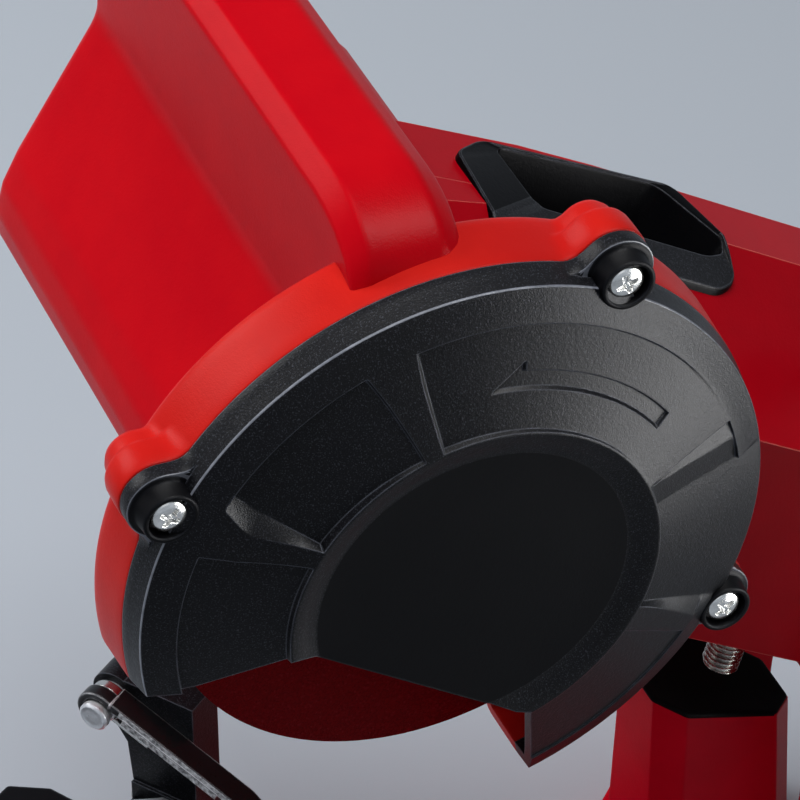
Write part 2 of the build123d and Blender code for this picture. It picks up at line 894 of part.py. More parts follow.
def stopColumn():
    """The column with a shallow pocket in its sloping top for the pad."""
    top = padTopAt(columnFrontY) + 10
    column = loft([columnSection(deckTall - 1), columnSection(top)], ruled=True)
    column -= aboveTop(padProud)
    return column - (padBlank(0) & aboveTop(padThick))


def stopPad():
    """The black pad that the depth screw comes down on."""
    return (padBlank(0) & aboveTop(padThick)) - aboveTop(0)


def yokeCheek(low, high):
    """One of the two plates that carry the hinge shaft."""
    outline = (
        (pivotY - cheekR, pivotZ),
        (pivotY - cheekR - 5, deckTall - 1),
        (min(pivotY + cheekR + 2, baseRearY - 1), deckTall - 1),
        (pivotY + cheekR, pivotZ),
    )
    cheek = prismX(outline, low, high)
    cheek += Pos(0, pivotY, pivotZ) * rodX(cheekR, low, high)
    return cheek


def deck():
    """The base's foot: a shallow tray, open below, with bolt bosses and ribs."""
    slab = extrude(footOutline(0), amount=deckTall, taper=4)
    hollow = extrude(footOutline(-baseWall - 1), amount=deckTall - baseWall)
    ribs = block(-2, 2, baseFrontY, baseRearY, 0, deckTall)
    for along in (-40.0, 10.0, 62.0):
        ribs += block(-baseWide / 2 + 1, baseWide / 2 - 1, along - 2, along + 2, 0, deckTall)
    ribs &= slab
    for place in boltPlaces():
        ribs += Pos(place[0], place[1], 0) * rodZ(boltBossR, 0, deckTall - 1)
    slab = slab - (hollow - ribs)
    return slab


def footOutline(grow):
    """The foot's outline: a rectangle with its left edge waisted beside the column."""
    left = -baseWide / 2
    right = baseWide / 2
    points = (
        (left, baseFrontY),
        (right, baseFrontY),
        (right, baseRearY),
        (left + 5, baseRearY),
        (left + 5, waistY + 17),
        (waistX, waistY + 4),
        (waistX, waistY - 7),
        (left, waistY - 37),
    )
    face = fillet(make_face(Polyline(*points, close=True)).vertices(), baseRound / 2)
    return offset(face, amount=grow, kind=Kind.ARC) if grow else face


def boltPlaces():
    halfX = boltSpacingX / 2
    halfY = boltSpacingY / 2
    return [(x, y) for x in (-halfX, halfX) for y in (-halfY, halfY)]


def pedestal():
    """The drum that carries the turntable, hollow and open to the front for the lock knob."""
    drum = rodZ(pedestalR, deckTall - 1, pedestalTop)
    inner = rodZ(pedestalR - pedestalWall, deckTall, pedestalTop - pedestalWall)
    mouth = block(-pedestalMouth, pedestalMouth, -pedestalR - 1, 0, deckTall, pedestalTop - pedestalWall)
    return Pos(viseX, viseY, 0) * (drum - inner - mouth)


def baseHousing():
    """The red base in one piece: foot, turntable arch, stop column and hinge yoke."""
    right = faceX + armRightX + clear
    left = faceX + armLeftX - clear
    base = deck() + pedestal() + stopColumn()
    base += yokeCheek(right, right + cheekThick)
    base += yokeCheek(left - cheekThick, left)
    for place in boltPlaces():
        base -= Pos(place[0], place[1], 0) * rodZ(boltHoleR, -1, deckTall + 1)
    base -= Pos(0, pivotY, pivotZ) * rodX(pivotR, left - 50, right + 50)
    base -= Pos(viseX, viseY, 0) * rodZ(swivelBoltR + clear, pedestalTop - 20, pedestalTop + 1)
    return base


def pivotShaft():
    right = faceX + armRightX + clear + cheekThick
    left = faceX + armLeftX - clear - cheekThick
    reach = pivotNutThick + 2.0
    shaft = rodX(pivotR, left - reach, right + reach)
    shaft = chamfer(shaft.edges().filter_by(GeomType.CIRCLE), 0.8)
    return Pos(0, pivotY, pivotZ) * shaft


def pivotNuts():
    right = faceX + armRightX + clear + cheekThick
    left = faceX + armLeftX - clear - cheekThick
    hexagon = RegularPolygon(pivotNutAcross / 2, 6, major_radius=False)
    nuts = []
    for low in (right, left - pivotNutThick):
        nut = Pos(low, 0, 0) * Rot(0, 90, 0) * extrude(hexagon, amount=pivotNutThick)
        nut -= rodX(pivotR, low - 1, low + pivotNutThick + 1)
        nuts.append(Pos(0, pivotY, pivotZ) * nut)
    return nuts


def angleScale():
    """An arc of sheet round the turntable's front, for the swivel degrees."""
    inner = turntableR + 0.6
    ring = rodZ(inner + scaleWide, pedestalTop, pedestalTop + scaleThick)
    ring -= rodZ(inner, pedestalTop - 1, pedestalTop + 3)
    far = 100.0
    ring &= prismZ(((0, 0), (-far, -far * 1.15), (far, -far * 1.15)), 0, pedestalTop + 5)
    return Pos(viseX, viseY, 0) * ring


# Turntable and vise, in the vise's frame

def turntable():
    """The disc that swivels on the pedestal, with a pointer and the rails' mounting block."""
    low = pedestalTop + clear
    disc = rodZ(turntableR, low, low + turntableThick)
    disc = chamfer(disc.edges().group_by(Axis.Z)[-1], 1.5)
    bed = block(-footHalf, footHalf, -footNear, chainSlot / 2 + footWide, low, railBottom)
    return disc + bed - rodZ(swivelBoltR, low - 1, railBottom + 1)


def swivelBolt():
    """The bolt that hangs from the turntable and takes the lock knob."""
    bolt = rodZ(swivelBoltR, lockKnobTopZ - lockKnobTall + 3, railBottom)
    return bolt


def lockKnob():
    """A three-lobed knob under the pedestal's top, which clamps the turntable."""
    high = lockKnobTopZ
    low = high - lockKnobTall
    knob = rodZ(lockKnobR - 6, low, high)
    for index in range(3):
        lobe = Pos(lockKnobR - 7, 0, 0) * rodZ(7, low, high - 3)
        knob += Rot(0, 0, index * 120 + 30) * lobe
    knob += rodZ(9, high - 3, pedestalTop - pedestalWall - clear)
    return knob - rodZ(swivelBoltR + runGap, low - 1, pedestalTop)


def railPlate(near, far):
    """A rail: a plate along the chain, lower at its ends, with a bevelled outer top edge."""
    outline = (
        (-railHalf, railBottom + 6),
        (-railHalf + 6, railBottom),
        (railHalf - 6, railBottom),
        (railHalf, railBottom + 6),
        (railHalf, railTop - 5),
        (railHalf - 8, railTop),
        (-railHalf + 8, railTop),
        (-railHalf, railTop - 5),
    )
    return prismY(outline, near, far)


def fixedRail():
    """The rear rail, with a foot that is screwed to the turntable."""
    near = chainSlot / 2
    rail = railPlate(near, near + railThick)
    foot = block(-footHalf, footHalf, near + railThick - 0.5, near + footWide, railBottom, railBottom + footThick)
    lug = block(adjustLugS, adjustLugS + adjustLugLong, near + railThick - 0.5, bracketFarT, railBottom + 1, adjustZ + 5)
    rail += foot + lug
    rail -= Pos(0, adjustT, adjustZ) * rodX(adjustR + runGap, adjustLugS - 1, adjustLugS + adjustLugLong + 1)
    for place in (-guidePinS, guidePinS):
        rail -= Pos(place, 0, guidePinZ) * rodY(guidePinR, -20, 20)
    rail -= Pos(clampS, 0, clampZ - 9) * rodY(clampStudR, -20, 20)
    for place in (-footScrewS, footScrewS):
        rail -= Pos(place, near + footWide - footScrewIn, 0) * rodZ(2.0, 0, railBottom + footThick + 1)
    return rail


def railScrews():
    screws = []
    for place in (-footScrewS, footScrewS):
        screw = rodZ(footScrewHeadR, railBottom + footThick, railBottom + footThick + 2.4)
        screw = fillet(screw.edges().group_by(Axis.Z)[-1], 1.0)
        screw += rodZ(2.0, railBottom, railBottom + footThick)
        screws.append(Pos(place, chainSlot / 2 + footWide - footScrewIn, 0) * screw)
    return screws


def guidePins():
    """The two pins on which the front rail slides."""
    near = -chainSlot / 2 - railThick - clampOpen - 2.0
    pin = rodY(guidePinR, near, chainSlot / 2 + railThick)
    return [Pos(place, 0, guidePinZ) * pin for place in (-guidePinS, guidePinS)]


def clampStud():
    """The stud that ties the clamp lever's pin to the rear rail."""
    stud = rodY(clampStudR, -camCentre() - 2.5, chainSlot / 2 + railThick)
    stud = Pos(clampS, 0, clampZ - 9) * stud
    post = Pos(clampS, -camCentre(), 0) * rodZ(2.6, clampZ - 12, clampZ + 2.2)
    return stud + post


def camCentre():
    """How far in front of the slot the lever's cam turns."""
    return chainSlot / 2 + railThick + washerThick + clear + camR + camThrow


def movingRail():
    far = -chainSlot / 2
    rail = railPlate(far - railThick, far)
    for place in (-guidePinS, guidePinS):
        rail -= Pos(place, 0, guidePinZ) * rodY(guidePinR + runGap, -20, 20)
    return rail - Pos(clampS, 0, clampZ - 9) * rodY(clampStudR + clear, -20, 20)


def thrustPlate():
    """The wear plate that the cam presses."""
    far = -chainSlot / 2 - railThick
    plate = block(clampS - 7, clampS + 7, far - washerThick, far, clampZ - 6, clampZ + 4)
    return plate


def clampLever():
    """The eccentric cam with its handle, which lies along the front rail when it is closed."""
    low = clampZ - 5.5
    cam = Pos(0, camThrow, 0) * rodZ(camR, low, low + camTall)
    cam -= rodZ(2.6 + runGap, low - 1, low + camTall + 1)
    arm = block(-leverLong, 0, -leverWide / 2, leverWide / 2, low + 3, low + 3 + leverThick)
    arm = Rot(0, 0, leverTurn) * arm
    arm -= rodZ(camR - 1, low - 1, low + camTall + 1)
    return Pos(clampS, -camCentre(), 0) * (cam + arm)


def leverGrip():
    """The lever's moulded grip, beyond the rail's end, with one corner cut back."""
    low = clampZ - 5.5 + 3
    plan = (
        (-leverLong - 5, -gripHalf + 1),
        (-leverLong - 3, -gripHalf),
        (-leverLong + gripLong, -gripHalf + 1.5),
        (-leverLong + gripLong, gripHalf - 2.5),
        (-leverLong + gripLong - 6, gripHalf),
        (-leverLong + 3, gripHalf),
        (-leverLong - 5, gripHalf - 4.5),
    )
    grip = prismZ(plan, low - 3.5, low + leverThick + 3.5)
    grip = fillet(grip.edges().filter_by(Axis.Z), 1.2)
    grip = fillet(grip.edges().group_by(Axis.Z)[-1], 1.2)
    grip -= block(-leverLong, -leverLong + gripLong + 1, -leverWide / 2, leverWide / 2, low, low + leverThick)
    return Pos(clampS, -camCentre(), 0) * Rot(0, 0, leverTurn) * grip


# Chain stop, in the vise's frame

def stopBracket():
    """The black post behind the rails that carries the pawl's pin."""
    post = prismY(
        (
            (bracketLeftS, railBottom + 2),
            (bracketRightS, railBottom + 2),
            (bracketRightS, bracketTop),
            (bracketLeftS - 1.0, bracketTop),
            (bracketLeftS - 1.0, stopPinZ - 12),
            (bracketLeftS, bracketStepZ),
        ),
        bracketNearT,
        bracketFarT,
    )
    lug = Pos(stopPinS, 0, stopPinZ) * rodY(bracketLugR, bracketNearT, bracketFarT - 3)
    web = prismY(
        (
            (stopPinS - 2.5, stopPinZ - bracketLugR + 0.6),
            (bracketLeftS, stopPinZ - 14),
            (bracketLeftS, stopPinZ + bracketLugR - 1.0),
            (stopPinS, stopPinZ + bracketLugR - 0.1),
        ),
        bracketNearT,
        bracketFarT - 3,
    )
    foot = block(bracketLeftS, bracketRightS, bracketNearT - bracketFoot, bracketNearT + 1, railBottom + 2, bracketStepZ)
    shoe = block(
        bracketLeftS, bracketRightS,
        chainSlot / 2 + railThick + clear, bracketNearT + 1,
        railBottom + 2, railBottom + 12,
    )
    bracket = post + lug + web + foot + shoe
    bracket -= Pos(stopPinS, 0, stopPinZ) * rodY(stopPinR, 0, bracketFarT + 1)
    return bracket - Pos(0, adjustT, adjustZ) * rodX(adjustR + runGap, bracketLeftS - 1, bracketRightS + 1)


def stopPin():
    pin = rodY(stopPinR, stopPinT, bracketFarT - 3)
    pin = chamfer(pin.edges().group_by(Axis.Y)[0], 0.4)
    return Pos(stopPinS, 0, stopPinZ) * pin


def pawlTurn(shape):
    """Turns a shape drawn along +s down to the pawl's slope, about the pin."""
    return Pos(stopPinS, 0, stopPinZ) * Rot(0, pawlSlope, 0) * shape


def stopPawl():
    """A bent steel finger: a rolled knuckle, a straight blade and a tip turned over the chain."""
    near = stopPinT + 0.8
    knuckle = rodY(knuckleR, near, near + knuckleWide)
    top = knuckleR
    blade = block(-0.5, pawlReach - pawlHook, near, near + pawlWide, top - pawlThick, top)
    tipNear = -1.5
    tip = prismZ(
        (
            (pawlReach - pawlHook - 0.5, near),
            (pawlReach - pawlHook - 0.5, near + pawlWide),
            (pawlReach, tipNear + 3.0),
            (pawlReach, tipNear),
        ),
        top - pawlThick,
        top,
    )
    lip = block(0.5, pawlReach - pawlHook - 6, near, near + 0.9, top - 3.6, top - pawlThick + 0.1)
    outer, coilNear = springRing()
    blade -= rodY(outer + clear, coilNear - clear, near + pawlWide + 1)
    pawl = knuckle + blade + tip + lip
    pawl -= rodY(stopPinR + runGap, near - 1, near + pawlWide + 1)
    return pawlTurn(pawl)


def springRing():
    """The coil's outer radius and its near side."""
    return stopPinR + 0.15 + pawlSpringWire, stopPinT + 0.8 + knuckleWide + 0.3


def stopSpring():
    """The small torsion spring behind the knuckle, with one leg under the blade."""
    outer, near = springRing()
    meanR = outer - pawlSpringWire / 2
    coil = rodY(outer, near, near + 1.9) - rodY(stopPinR + 0.15, near - 1, near + 3)
    leg = Pos(0, near + pawlSpringWire / 2, -meanR) * rodX(pawlSpringWire / 2, 0, 12.0)
    return pawlTurn(coil + leg)


def adjustScrew():
    """The long screw behind the rails that shifts the bracket along them."""
    bar = rodX(adjustR, bracketLeftS - 3, adjustEndS)
    return Pos(0, adjustT, adjustZ) * bar


def adjustKnob():
    low = adjustEndS - 2.0
    knob = rodX(adjustKnobR, low, low + adjustKnobLong)
    knob = fillet(knob.edges().group_by(Axis.X)[-1], 1.5)
    for index in range(10):
        knob -= Rot(index * 36, 0, 0) * Pos(0, adjustKnobR + 0.6, 0) * rodX(1.4, low - 1, low + adjustKnobLong + 1)
    knob -= rodX(adjustR, low - 1, adjustEndS)
    return Pos(0, adjustT, adjustZ) * knob


def save(name, place, shape):
    """Writes one node; a list becomes separate solids of that node."""
    pieces = shape if isinstance(shape, list) else [shape]
    solids = []
    for piece in pieces:
        solids += (place * piece).solids()
    export_step(Compound(children=solids) if len(solids) > 1 else solids[0], "parts/" + name + ".step")


def main():
    os.makedirs("parts", exist_ok=True)
    here = Pos(0, 0, 0)
    save("base_housing", here, baseHousing())
    save("stop_pad", here, stopPad())
    save("pivot_shaft", here, pivotShaft())
    save("pivot_nuts", here, pivotNuts())
    save("angle_scale", here, angleScale())
    save("lock_knob", Pos(viseX, viseY, 0), lockKnob())

    save("guard_shell", headPlace, guardShell())
    save("guard_cover", headPlace, guardCover())
    save("cover_screws", headPlace, coverScrews())
    save("motor_housing", headPlace, motorHousing())
    save("arm_shell_right", headPlace, armShell(True))
    save("arm_shell_left", headPlace, armShell(False))
    save("housing_screws", headPlace, housingScrews())
    save("cord_gland", headPlace, cordGland())
    save("pivot_bushes", headPlace, pivotBushes())
    save("return_spring", headPlace, returnSpring())
    save("switch_housing", headPlace, switchHousing())
    save("rocker_switch", headPlace, rockerSwitch())
    save("stop_insert", headPlace, stopInsert())
    save("depth_screw", headPlace, depthScrew())
    save("depth_knob", headPlace, depthKnob())

    save("grinding_wheel", headPlace, grindingWheel())
    save("inner_flange", headPlace, innerFlange())
    save("outer_flange", headPlace, outerFlange())
    save("spindle_nut", headPlace, spindleNut())
    save("rotor_shaft", headPlace, rotorShaft())
    save("rotor_core", headPlace, rotorCore())
    save("rotor_coils", headPlace, rotorCoils())
    save("commutator", headPlace, commutator())
    save("cooling_fan", headPlace, coolingFan())
    save("stator_core", headPlace, statorCore())
    save("stator_coils", headPlace, statorCoils())
    save("front_bearing", headPlace, bearing(frontBearingX))
    save("rear_bearing", headPlace, bearing(rearBearingX))
    save("carbon_brushes", headPlace, carbonBrushes())
    save("brush_holders", headPlace, brushHolders())

    save("turntable", visePlace, turntable())
    save("swivel_bolt", visePlace, swivelBolt())
    save("fixed_rail", visePlace, fixedRail())
    save("rail_screws", visePlace, railScrews())
    save("guide_pins", visePlace, guidePins())
    save("clamp_stud", visePlace, clampStud())
    save("moving_rail", visePlace, movingRail())
    save("thrust_plate", visePlace, thrustPlate())
    save("clamp_lever", visePlace, clampLever())
    save("lever_grip", visePlace, leverGrip())
    save("stop_bracket", visePlace, stopBracket())
    save("stop_pin", visePlace, stopPin())
    save("stop_pawl", visePlace, stopPawl())
    save("stop_spring", visePlace, stopSpring())
    save("adjust_screw", visePlace, adjustScrew())
    save("adjust_knob", visePlace, adjustKnob())


main()
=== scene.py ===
from math import radians

import bmesh
import bpy
import numpy as np
from mathutils import Matrix, Vector


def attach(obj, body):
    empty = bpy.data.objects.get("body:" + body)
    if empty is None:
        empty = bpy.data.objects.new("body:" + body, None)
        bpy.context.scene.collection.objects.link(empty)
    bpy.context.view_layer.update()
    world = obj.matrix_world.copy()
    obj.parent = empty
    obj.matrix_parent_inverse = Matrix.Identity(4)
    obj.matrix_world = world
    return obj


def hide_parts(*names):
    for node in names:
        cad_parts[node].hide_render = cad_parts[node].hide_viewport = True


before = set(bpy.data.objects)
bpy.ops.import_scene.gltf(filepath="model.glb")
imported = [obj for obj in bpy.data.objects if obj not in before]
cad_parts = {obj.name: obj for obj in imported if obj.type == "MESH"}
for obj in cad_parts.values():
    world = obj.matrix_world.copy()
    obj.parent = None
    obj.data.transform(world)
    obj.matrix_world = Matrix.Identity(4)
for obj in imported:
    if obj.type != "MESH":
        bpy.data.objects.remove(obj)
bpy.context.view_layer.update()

mm = 0.001
scene = bpy.context.scene

# The head's frame: x across, u back along the arm and w up, from the spindle's axis at the cover's rim
headFrame = {"origin": (0.040, -0.018, 0.190), "tilt": 33.0}


# A radius and an angle in degrees as two coordinates
def polar(radius, degrees):
    return radius * np.cos(np.radians(degrees)), radius * np.sin(np.radians(degrees))


# Values of x, y and z as one array of points
def joinAxes(x, y, z):
    return np.stack(np.broadcast_arrays(x, y, z), -1)


# Millimetres from the spindle: times 0.001, plus the spindle's place
def rowToWorld(points):
    return points * mm + np.array(headFrame["origin"])


# Head points in millimetres: u and w turn by the tilt into y and z
def headToWorld(x, u, w):
    c, s = polar(1, headFrame["tilt"])
    return rowToWorld(joinAxes(x, u * c + w * s, w * c - u * s))


cameraLook = {
    "azimuth": 66.35, "elevation": 40.85, "lens": 193.554, "sensor": 36.0, "clip": (0.01, 20),
    "place": (0.57197, -0.26259, 0.73609),
}


def aimCamera(look):
    (ca, sa), (ce, se) = polar(1, look["azimuth"]), polar(1, look["elevation"])
    back, right = Vector((sa * ce, -ca * ce, se)), Vector((ca, sa, 0))
    turn = Matrix((right, back.cross(right), back)).transposed().to_4x4()
    data = bpy.data.cameras.new("camera")
    data.lens, data.sensor_width = look["lens"], look["sensor"]
    data.clip_start, data.clip_end = look["clip"]
    camera = bpy.data.objects.new("camera", data)
    camera.matrix_world = Matrix.Translation(look["place"]) @ turn
    scene.collection.objects.link(camera)
    scene.camera = camera


# Area lamps round the head: where each comes from, its distance and size in metres, its power, and whether
# it shows in reflections alone
lamps = {
    "overhead": ((0.0, 0.0, 1.0), 1.2, 0.8, 11.5, False),
    "rearLeft": ((-0.70, -0.50, 0.50), 1.2, 0.55, 7.5, False),
    "left": ((-0.05, -0.95, 0.35), 1.2, 0.8, 1.8, False),
    "front": ((0.85, -0.10, 0.50), 1.5, 0.8, 1.0, False),
    "lowRight": ((0.50, 0.66, -0.44), 0.40, 0.22, 2.2, True),
    "right": ((0.62, 0.77, 0.02), 0.8, 0.4, 8.0, True),
    "overheadGloss": ((0.19, 0.43, 0.88), 1.2, 0.5, 17.0, True),
}


def hangLamps():
    for name, (comesFrom, far, size, power, glossOnly) in lamps.items():
        data = bpy.data.lights.new(name, "AREA")
        data.shape, data.size, data.energy = "SQUARE", size, power
        towards = Vector(comesFrom).normalized()
        hung = bpy.data.objects.new(name, data)
        hung.location = Vector(headFrame["origin"]) + towards * far
        hung.rotation_mode = "QUATERNION"
        hung.rotation_quaternion = towards.to_track_quat("Z", "Y")
        hung.visible_camera = False
        hung.visible_diffuse = not glossOnly
        scene.collection.objects.link(hung)


# Sets a node's sockets, by name or number, to values or to other nodes' sockets
def setSockets(tree, node, sockets):
    for name, value in sockets.items():
        if isinstance(value, bpy.types.NodeSocket):
            tree.links.new(value, node.inputs[name])
        else:
            node.inputs[name].default_value = value


# A new node's outputs
def addNode(tree, kind, sockets=None, **settings):
    node = tree.nodes.new("ShaderNode" + kind)
    for name, value in settings.items():
        setattr(node, name, value)
    setSockets(tree, node, sockets or {})
    return node.outputs


def objectPlace(tree):
    return addNode(tree, "TexCoord")["Object"]


def noise(tree, place, scale, detail, roughness=0.5):
    sockets = {"Vector": place, "Scale": scale, "Detail": detail, "Roughness": roughness}
    return addNode(tree, "TexNoise", sockets)["Fac"]


def arithmetic(tree, operation, first, second, **settings):
    return addNode(tree, "Math", {0: first, 1: second}, operation=operation, **settings)[0]


# What lies between low and high is spread over toLow to toHigh
def ranged(tree, value, low, high, toLow=0.0, toHigh=1.0, **settings):
    sockets = {"Value": value, "From Min": low, "From Max": high, "To Min": toLow, "To Max": toHigh}
    return addNode(tree, "MapRange", sockets, **settings)["Result"]


mixSockets = {"FLOAT": (2, 3, 0), "RGBA": (6, 7, 2)}  # a mix node's first and second value, and its result


def mix(tree, kind, factor, first, second):
    firstSocket, secondSocket, result = mixSockets[kind]
    return addNode(tree, "Mix", {0: factor, firstSocket: first, secondSocket: second}, data_type=kind)[result]


# A group with named inputs and number outputs, and the sockets inside it
def newGroup(name, inputs, outputs):
    group = bpy.data.node_groups.new(name, "ShaderNodeTree")
    for label, value in inputs.items():
        kind = "NodeSocketVector" if isinstance(value, tuple) else "NodeSocketFloat"
        group.interface.new_socket(label, in_out="INPUT", socket_type=kind).default_value = value
    for label in outputs:
        group.interface.new_socket(label, in_out="OUTPUT", socket_type="NodeSocketFloat")
    return group, group.nodes.new("NodeGroupInput").outputs, group.nodes.new("NodeGroupOutput")


# Spark-eroded texture of a moulded face: fine noise mixed with coarser noise; the fine one's peaks are
# flecks, which tint the colour in finishes that set them, as painted glints of the texture's sparkle
def makeGrainGroup():
    coarser, glintsLow, glintsHigh = 0.37, 0.56, 0.74
    group, given, result = newGroup("mouldGrain", {"Size": 0.0004, "Coarse Share": 0.4}, ("Height", "Glints"))
    place = objectPlace(group)
    scale = arithmetic(group, "DIVIDE", 1.0, given["Size"])
    fine = noise(group, place, scale, 2.0)
    coarse = noise(group, place, arithmetic(group, "MULTIPLY", scale, coarser), 1.0)
    height = mix(group, "FLOAT", given["Coarse Share"], fine, coarse)
    setSockets(group, result, {"Height": height, "Glints": ranged(group, fine, glintsLow, glintsHigh)})
    return group


# Wear along edges, and where Whole is set a painted highlight that runs unbroken along them: how far
# the rounded normal leans from the true one, broken up by noise
def makeEdgeGroup():
    flat, patchScale, patchLow, patchHigh = 0.995, 260.0, 0.40, 0.70
    inputs = {"Radius": 0.0008, "Reach": 0.25, "Sharpest": 0.80, "Whole": 0.0}
    group, given, result = newGroup("edgeWearAndHighlight", inputs, ("Mask",))
    normals = {0: addNode(group, "Bevel", {"Radius": given["Radius"]}, samples=4)[0]}
    normals[1] = addNode(group, "NewGeometry")["Normal"]
    alike = addNode(group, "VectorMath", normals, operation="DOT_PRODUCT")["Value"]
    lean = ranged(group, alike, flat, given["Sharpest"])
    cloud = noise(group, objectPlace(group), patchScale, 4.0)
    patches = ranged(group, cloud, patchLow, patchHigh, given["Whole"])
    both = arithmetic(group, "MULTIPLY", lean, patches)
    mask = arithmetic(group, "MULTIPLY", both, given["Reach"], use_clamp=True)
    setSockets(group, result, {"Mask": mask})
    return group


# Broad unevenness of a surface, such as handling marks and thin dust
def makeMottleGroup():
    low, high = 0.35, 0.65
    group, given, result = newGroup("mottle", {"Size": 0.02, "Amount": 0.5}, ("Mask",))
    scale = arithmetic(group, "DIVIDE", 1.0, given["Size"])
    cloud = noise(group, objectPlace(group), scale, 5.0, 0.6)
    mask = arithmetic(group, "MULTIPLY", ranged(group, cloud, low, high), given["Amount"])
    setSockets(group, result, {"Mask": mask})
    return group


# Fine parallel scratches: noise drawn out along one axis
def makeBrushGroup():
    group, given, result = newGroup("brushed", {"Stretch": (60.0, 2400.0, 2400.0)}, ("Height",))
    place = {0: objectPlace(group), 1: given["Stretch"]}
    drawn = addNode(group, "VectorMath", place, operation="MULTIPLY")[0]
    setSockets(group, result, {"Height": noise(group, drawn, 1.0, 3.0)})
    return group


groups = {
    "grain": makeGrainGroup(),
    "edge": makeEdgeGroup(),
    "mottle": makeMottleGroup(),
    "brushed": makeBrushGroup(),
}
print("shader groups ready")

# Each finish has its colour, the shade its mottle turns it towards and the colour of its rubbed edges, as
# they look on a screen; the wear's strength, the roughness, the grain's size and depth, the mottle's size and
# the edges' radius, with sizes in millimetres; and what differs from the usual values. Of those, sharpest is
# how alike the normals still are at full wear, and whole is the wear between its patches. The rubbed edges'
# colour is partly wear and partly a painted highlight: where whole is set it runs unbroken along the edges
# as a bright line. Pale flecks of it at the grain's peaks, where set, are painted glints
finishColumns = ("colour", "shade", "wornAndHighlight", "wear", "rough", "grain", "depth", "mottle", "round")
usual = {"metal": 0.0, "shine": 0.5, "sharpest": 0.80, "whole": 0.0, "glints": 0.0, "brushed": None}
metal = {"metal": 1.0}
finishes = {
    "redShell": ((205, 30, 22), (193, 24, 20), (226, 70, 60), 0.25, 0.36, 0.3, 0.3, 20, 0.8, {"shine": 0.06}),
    "redHousing": (
        (200, 8, 22), (188, 2, 20), (236, 120, 110), 0.45, 0.30, 0.32, 0.3, 30, 0.6,
        {"shine": 0.025, "sharpest": 0.86, "whole": 0.5},
    ),
    # The arm's red: its pale edges reach even the shallow creases and run unbroken, partly wear and partly a
    # painted highlight along the crease lines
    "redArm": (
        (184, 2, 22), (172, 2, 20), (236, 120, 110), 1.0, 0.32, 0.32, 0.3, 30, 0.3,
        {"shine": 0.035, "sharpest": 0.975, "whole": 0.8},
    ),
    "redBase": ((204, 4, 34), (190, 3, 30), (196, 40, 46), 0.25, 0.4, 0.32, 0.3, 30, 1.0, {"shine": 0.04}),
    # The cover's black: its pale edges run unbroken along every step, partly wear and partly a painted
    # highlight, and its pale flecks are painted glints
    "blackMoulding": (
        (13, 13, 17), (10, 10, 13), (112, 116, 128), 1.2, 0.34, 0.3, 0.5, 15, 0.4,
        {"glints": 0.28, "shine": 0.12, "whole": 0.5, "sharpest": 0.86},
    ),
    "blackSmooth": (
        (12, 12, 15), (9, 9, 12), (70, 74, 84), 0.8, 0.38, 0.4, 0.12, 20, 0.6, {"shine": 0.06, "whole": 0.4},
    ),
    # The black of the column's cap: painted shade where the column's top lies in shadow
    "padShadeBlack": ((9, 9, 10), (7, 7, 8), (30, 30, 32), 0.2, 0.7, 0.4, 0.25, 10, 0.6, {"shine": 0.03}),
    "brightSteel": ((214, 214, 212), (188, 188, 186), (236, 236, 234), 0.4, 0.24, 0.6, 0.05, 6, 0.3, metal),
    "darkChrome": ((120, 124, 132), (92, 96, 104), (210, 212, 216), 0.8, 0.2, 0.6, 0.05, 8, 0.4, metal),
    "railSteel": (
        (176, 178, 182), (170, 172, 176), (228, 228, 230), 0.5, 0.36, 0.6, 0.04, 10, 0.4,
        {"metal": 1.0, "brushed": (60.0, 60.0, 2600.0)},
    ),
    "bronze": ((184, 142, 84), (150, 112, 62), (214, 180, 120), 0.4, 0.38, 0.5, 0.1, 6, 0.4, metal),
    "copper": ((196, 104, 60), (160, 74, 38), (224, 140, 96), 0.2, 0.34, 0.8, 0.3, 4, 0.4, metal),
    "iron": (
        (132, 132, 134), (104, 104, 106), (170, 170, 172), 0.3, 0.45, 0.5, 0.1, 10, 0.3,
        {"metal": 1.0, "brushed": (2000.0, 40.0, 40.0)},
    ),
    "carbon": ((44, 44, 47), (34, 34, 37), (80, 80, 84), 0.3, 0.6, 0.4, 0.2, 8, 0.3, {}),
    "screwSteel": ((222, 222, 220), (196, 196, 194), (240, 240, 238), 0.4, 0.2, 0.5, 0.06, 2, 0.2, metal),
    "threadSteel": ((176, 172, 166), (120, 116, 112), (240, 236, 230), 0.8, 0.26, 0.4, 0.1, 3, 0.2, metal),
    # The pawl's black steel: its near-white edges run unbroken, partly wear and partly a painted highlight
    "blackSteel": (
        (26, 26, 29), (20, 20, 23), (236, 236, 240), 2.6, 0.3, 0.35, 0.25, 6, 0.4,
        {"metal": 0.5, "whole": 0.5},
    ),
    "rasped": (
        (240, 240, 242), (96, 96, 100), (250, 250, 250), 2.0, 0.32, 0.6, 0.9, 1.2, 0.4, {"metal": 0.15},
    ),
    "turnedSteel": (
        (226, 228, 232), (206, 208, 212), (244, 244, 246), 0.6, 0.3, 0.4, 0.08, 3, 0.3, {"metal": 0.6},
    ),
    # The tray's darker black: painted shade inside the switch well; its pale edges run unbroken as a painted
    # highlight
    "trayShadeBlack": (
        (7, 7, 9), (5, 5, 7), (150, 154, 166), 1.0, 0.32, 0.4, 0.2, 20, 0.4, {"shine": 0.03, "whole": 0.5},
    ),
    # A pale grey for the black cover's rim and collar edges: a painted highlight along them
    "rimHighlightGrey": ((132, 136, 148), (96, 100, 110), (200, 204, 212), 1.0, 0.3, 0.4, 0.2, 4, 0.2, {}),
    "whitePlate": ((222, 222, 218), (206, 206, 200), (240, 240, 238), 0.2, 0.45, 0.5, 0.05, 12, 0.3, {}),
}


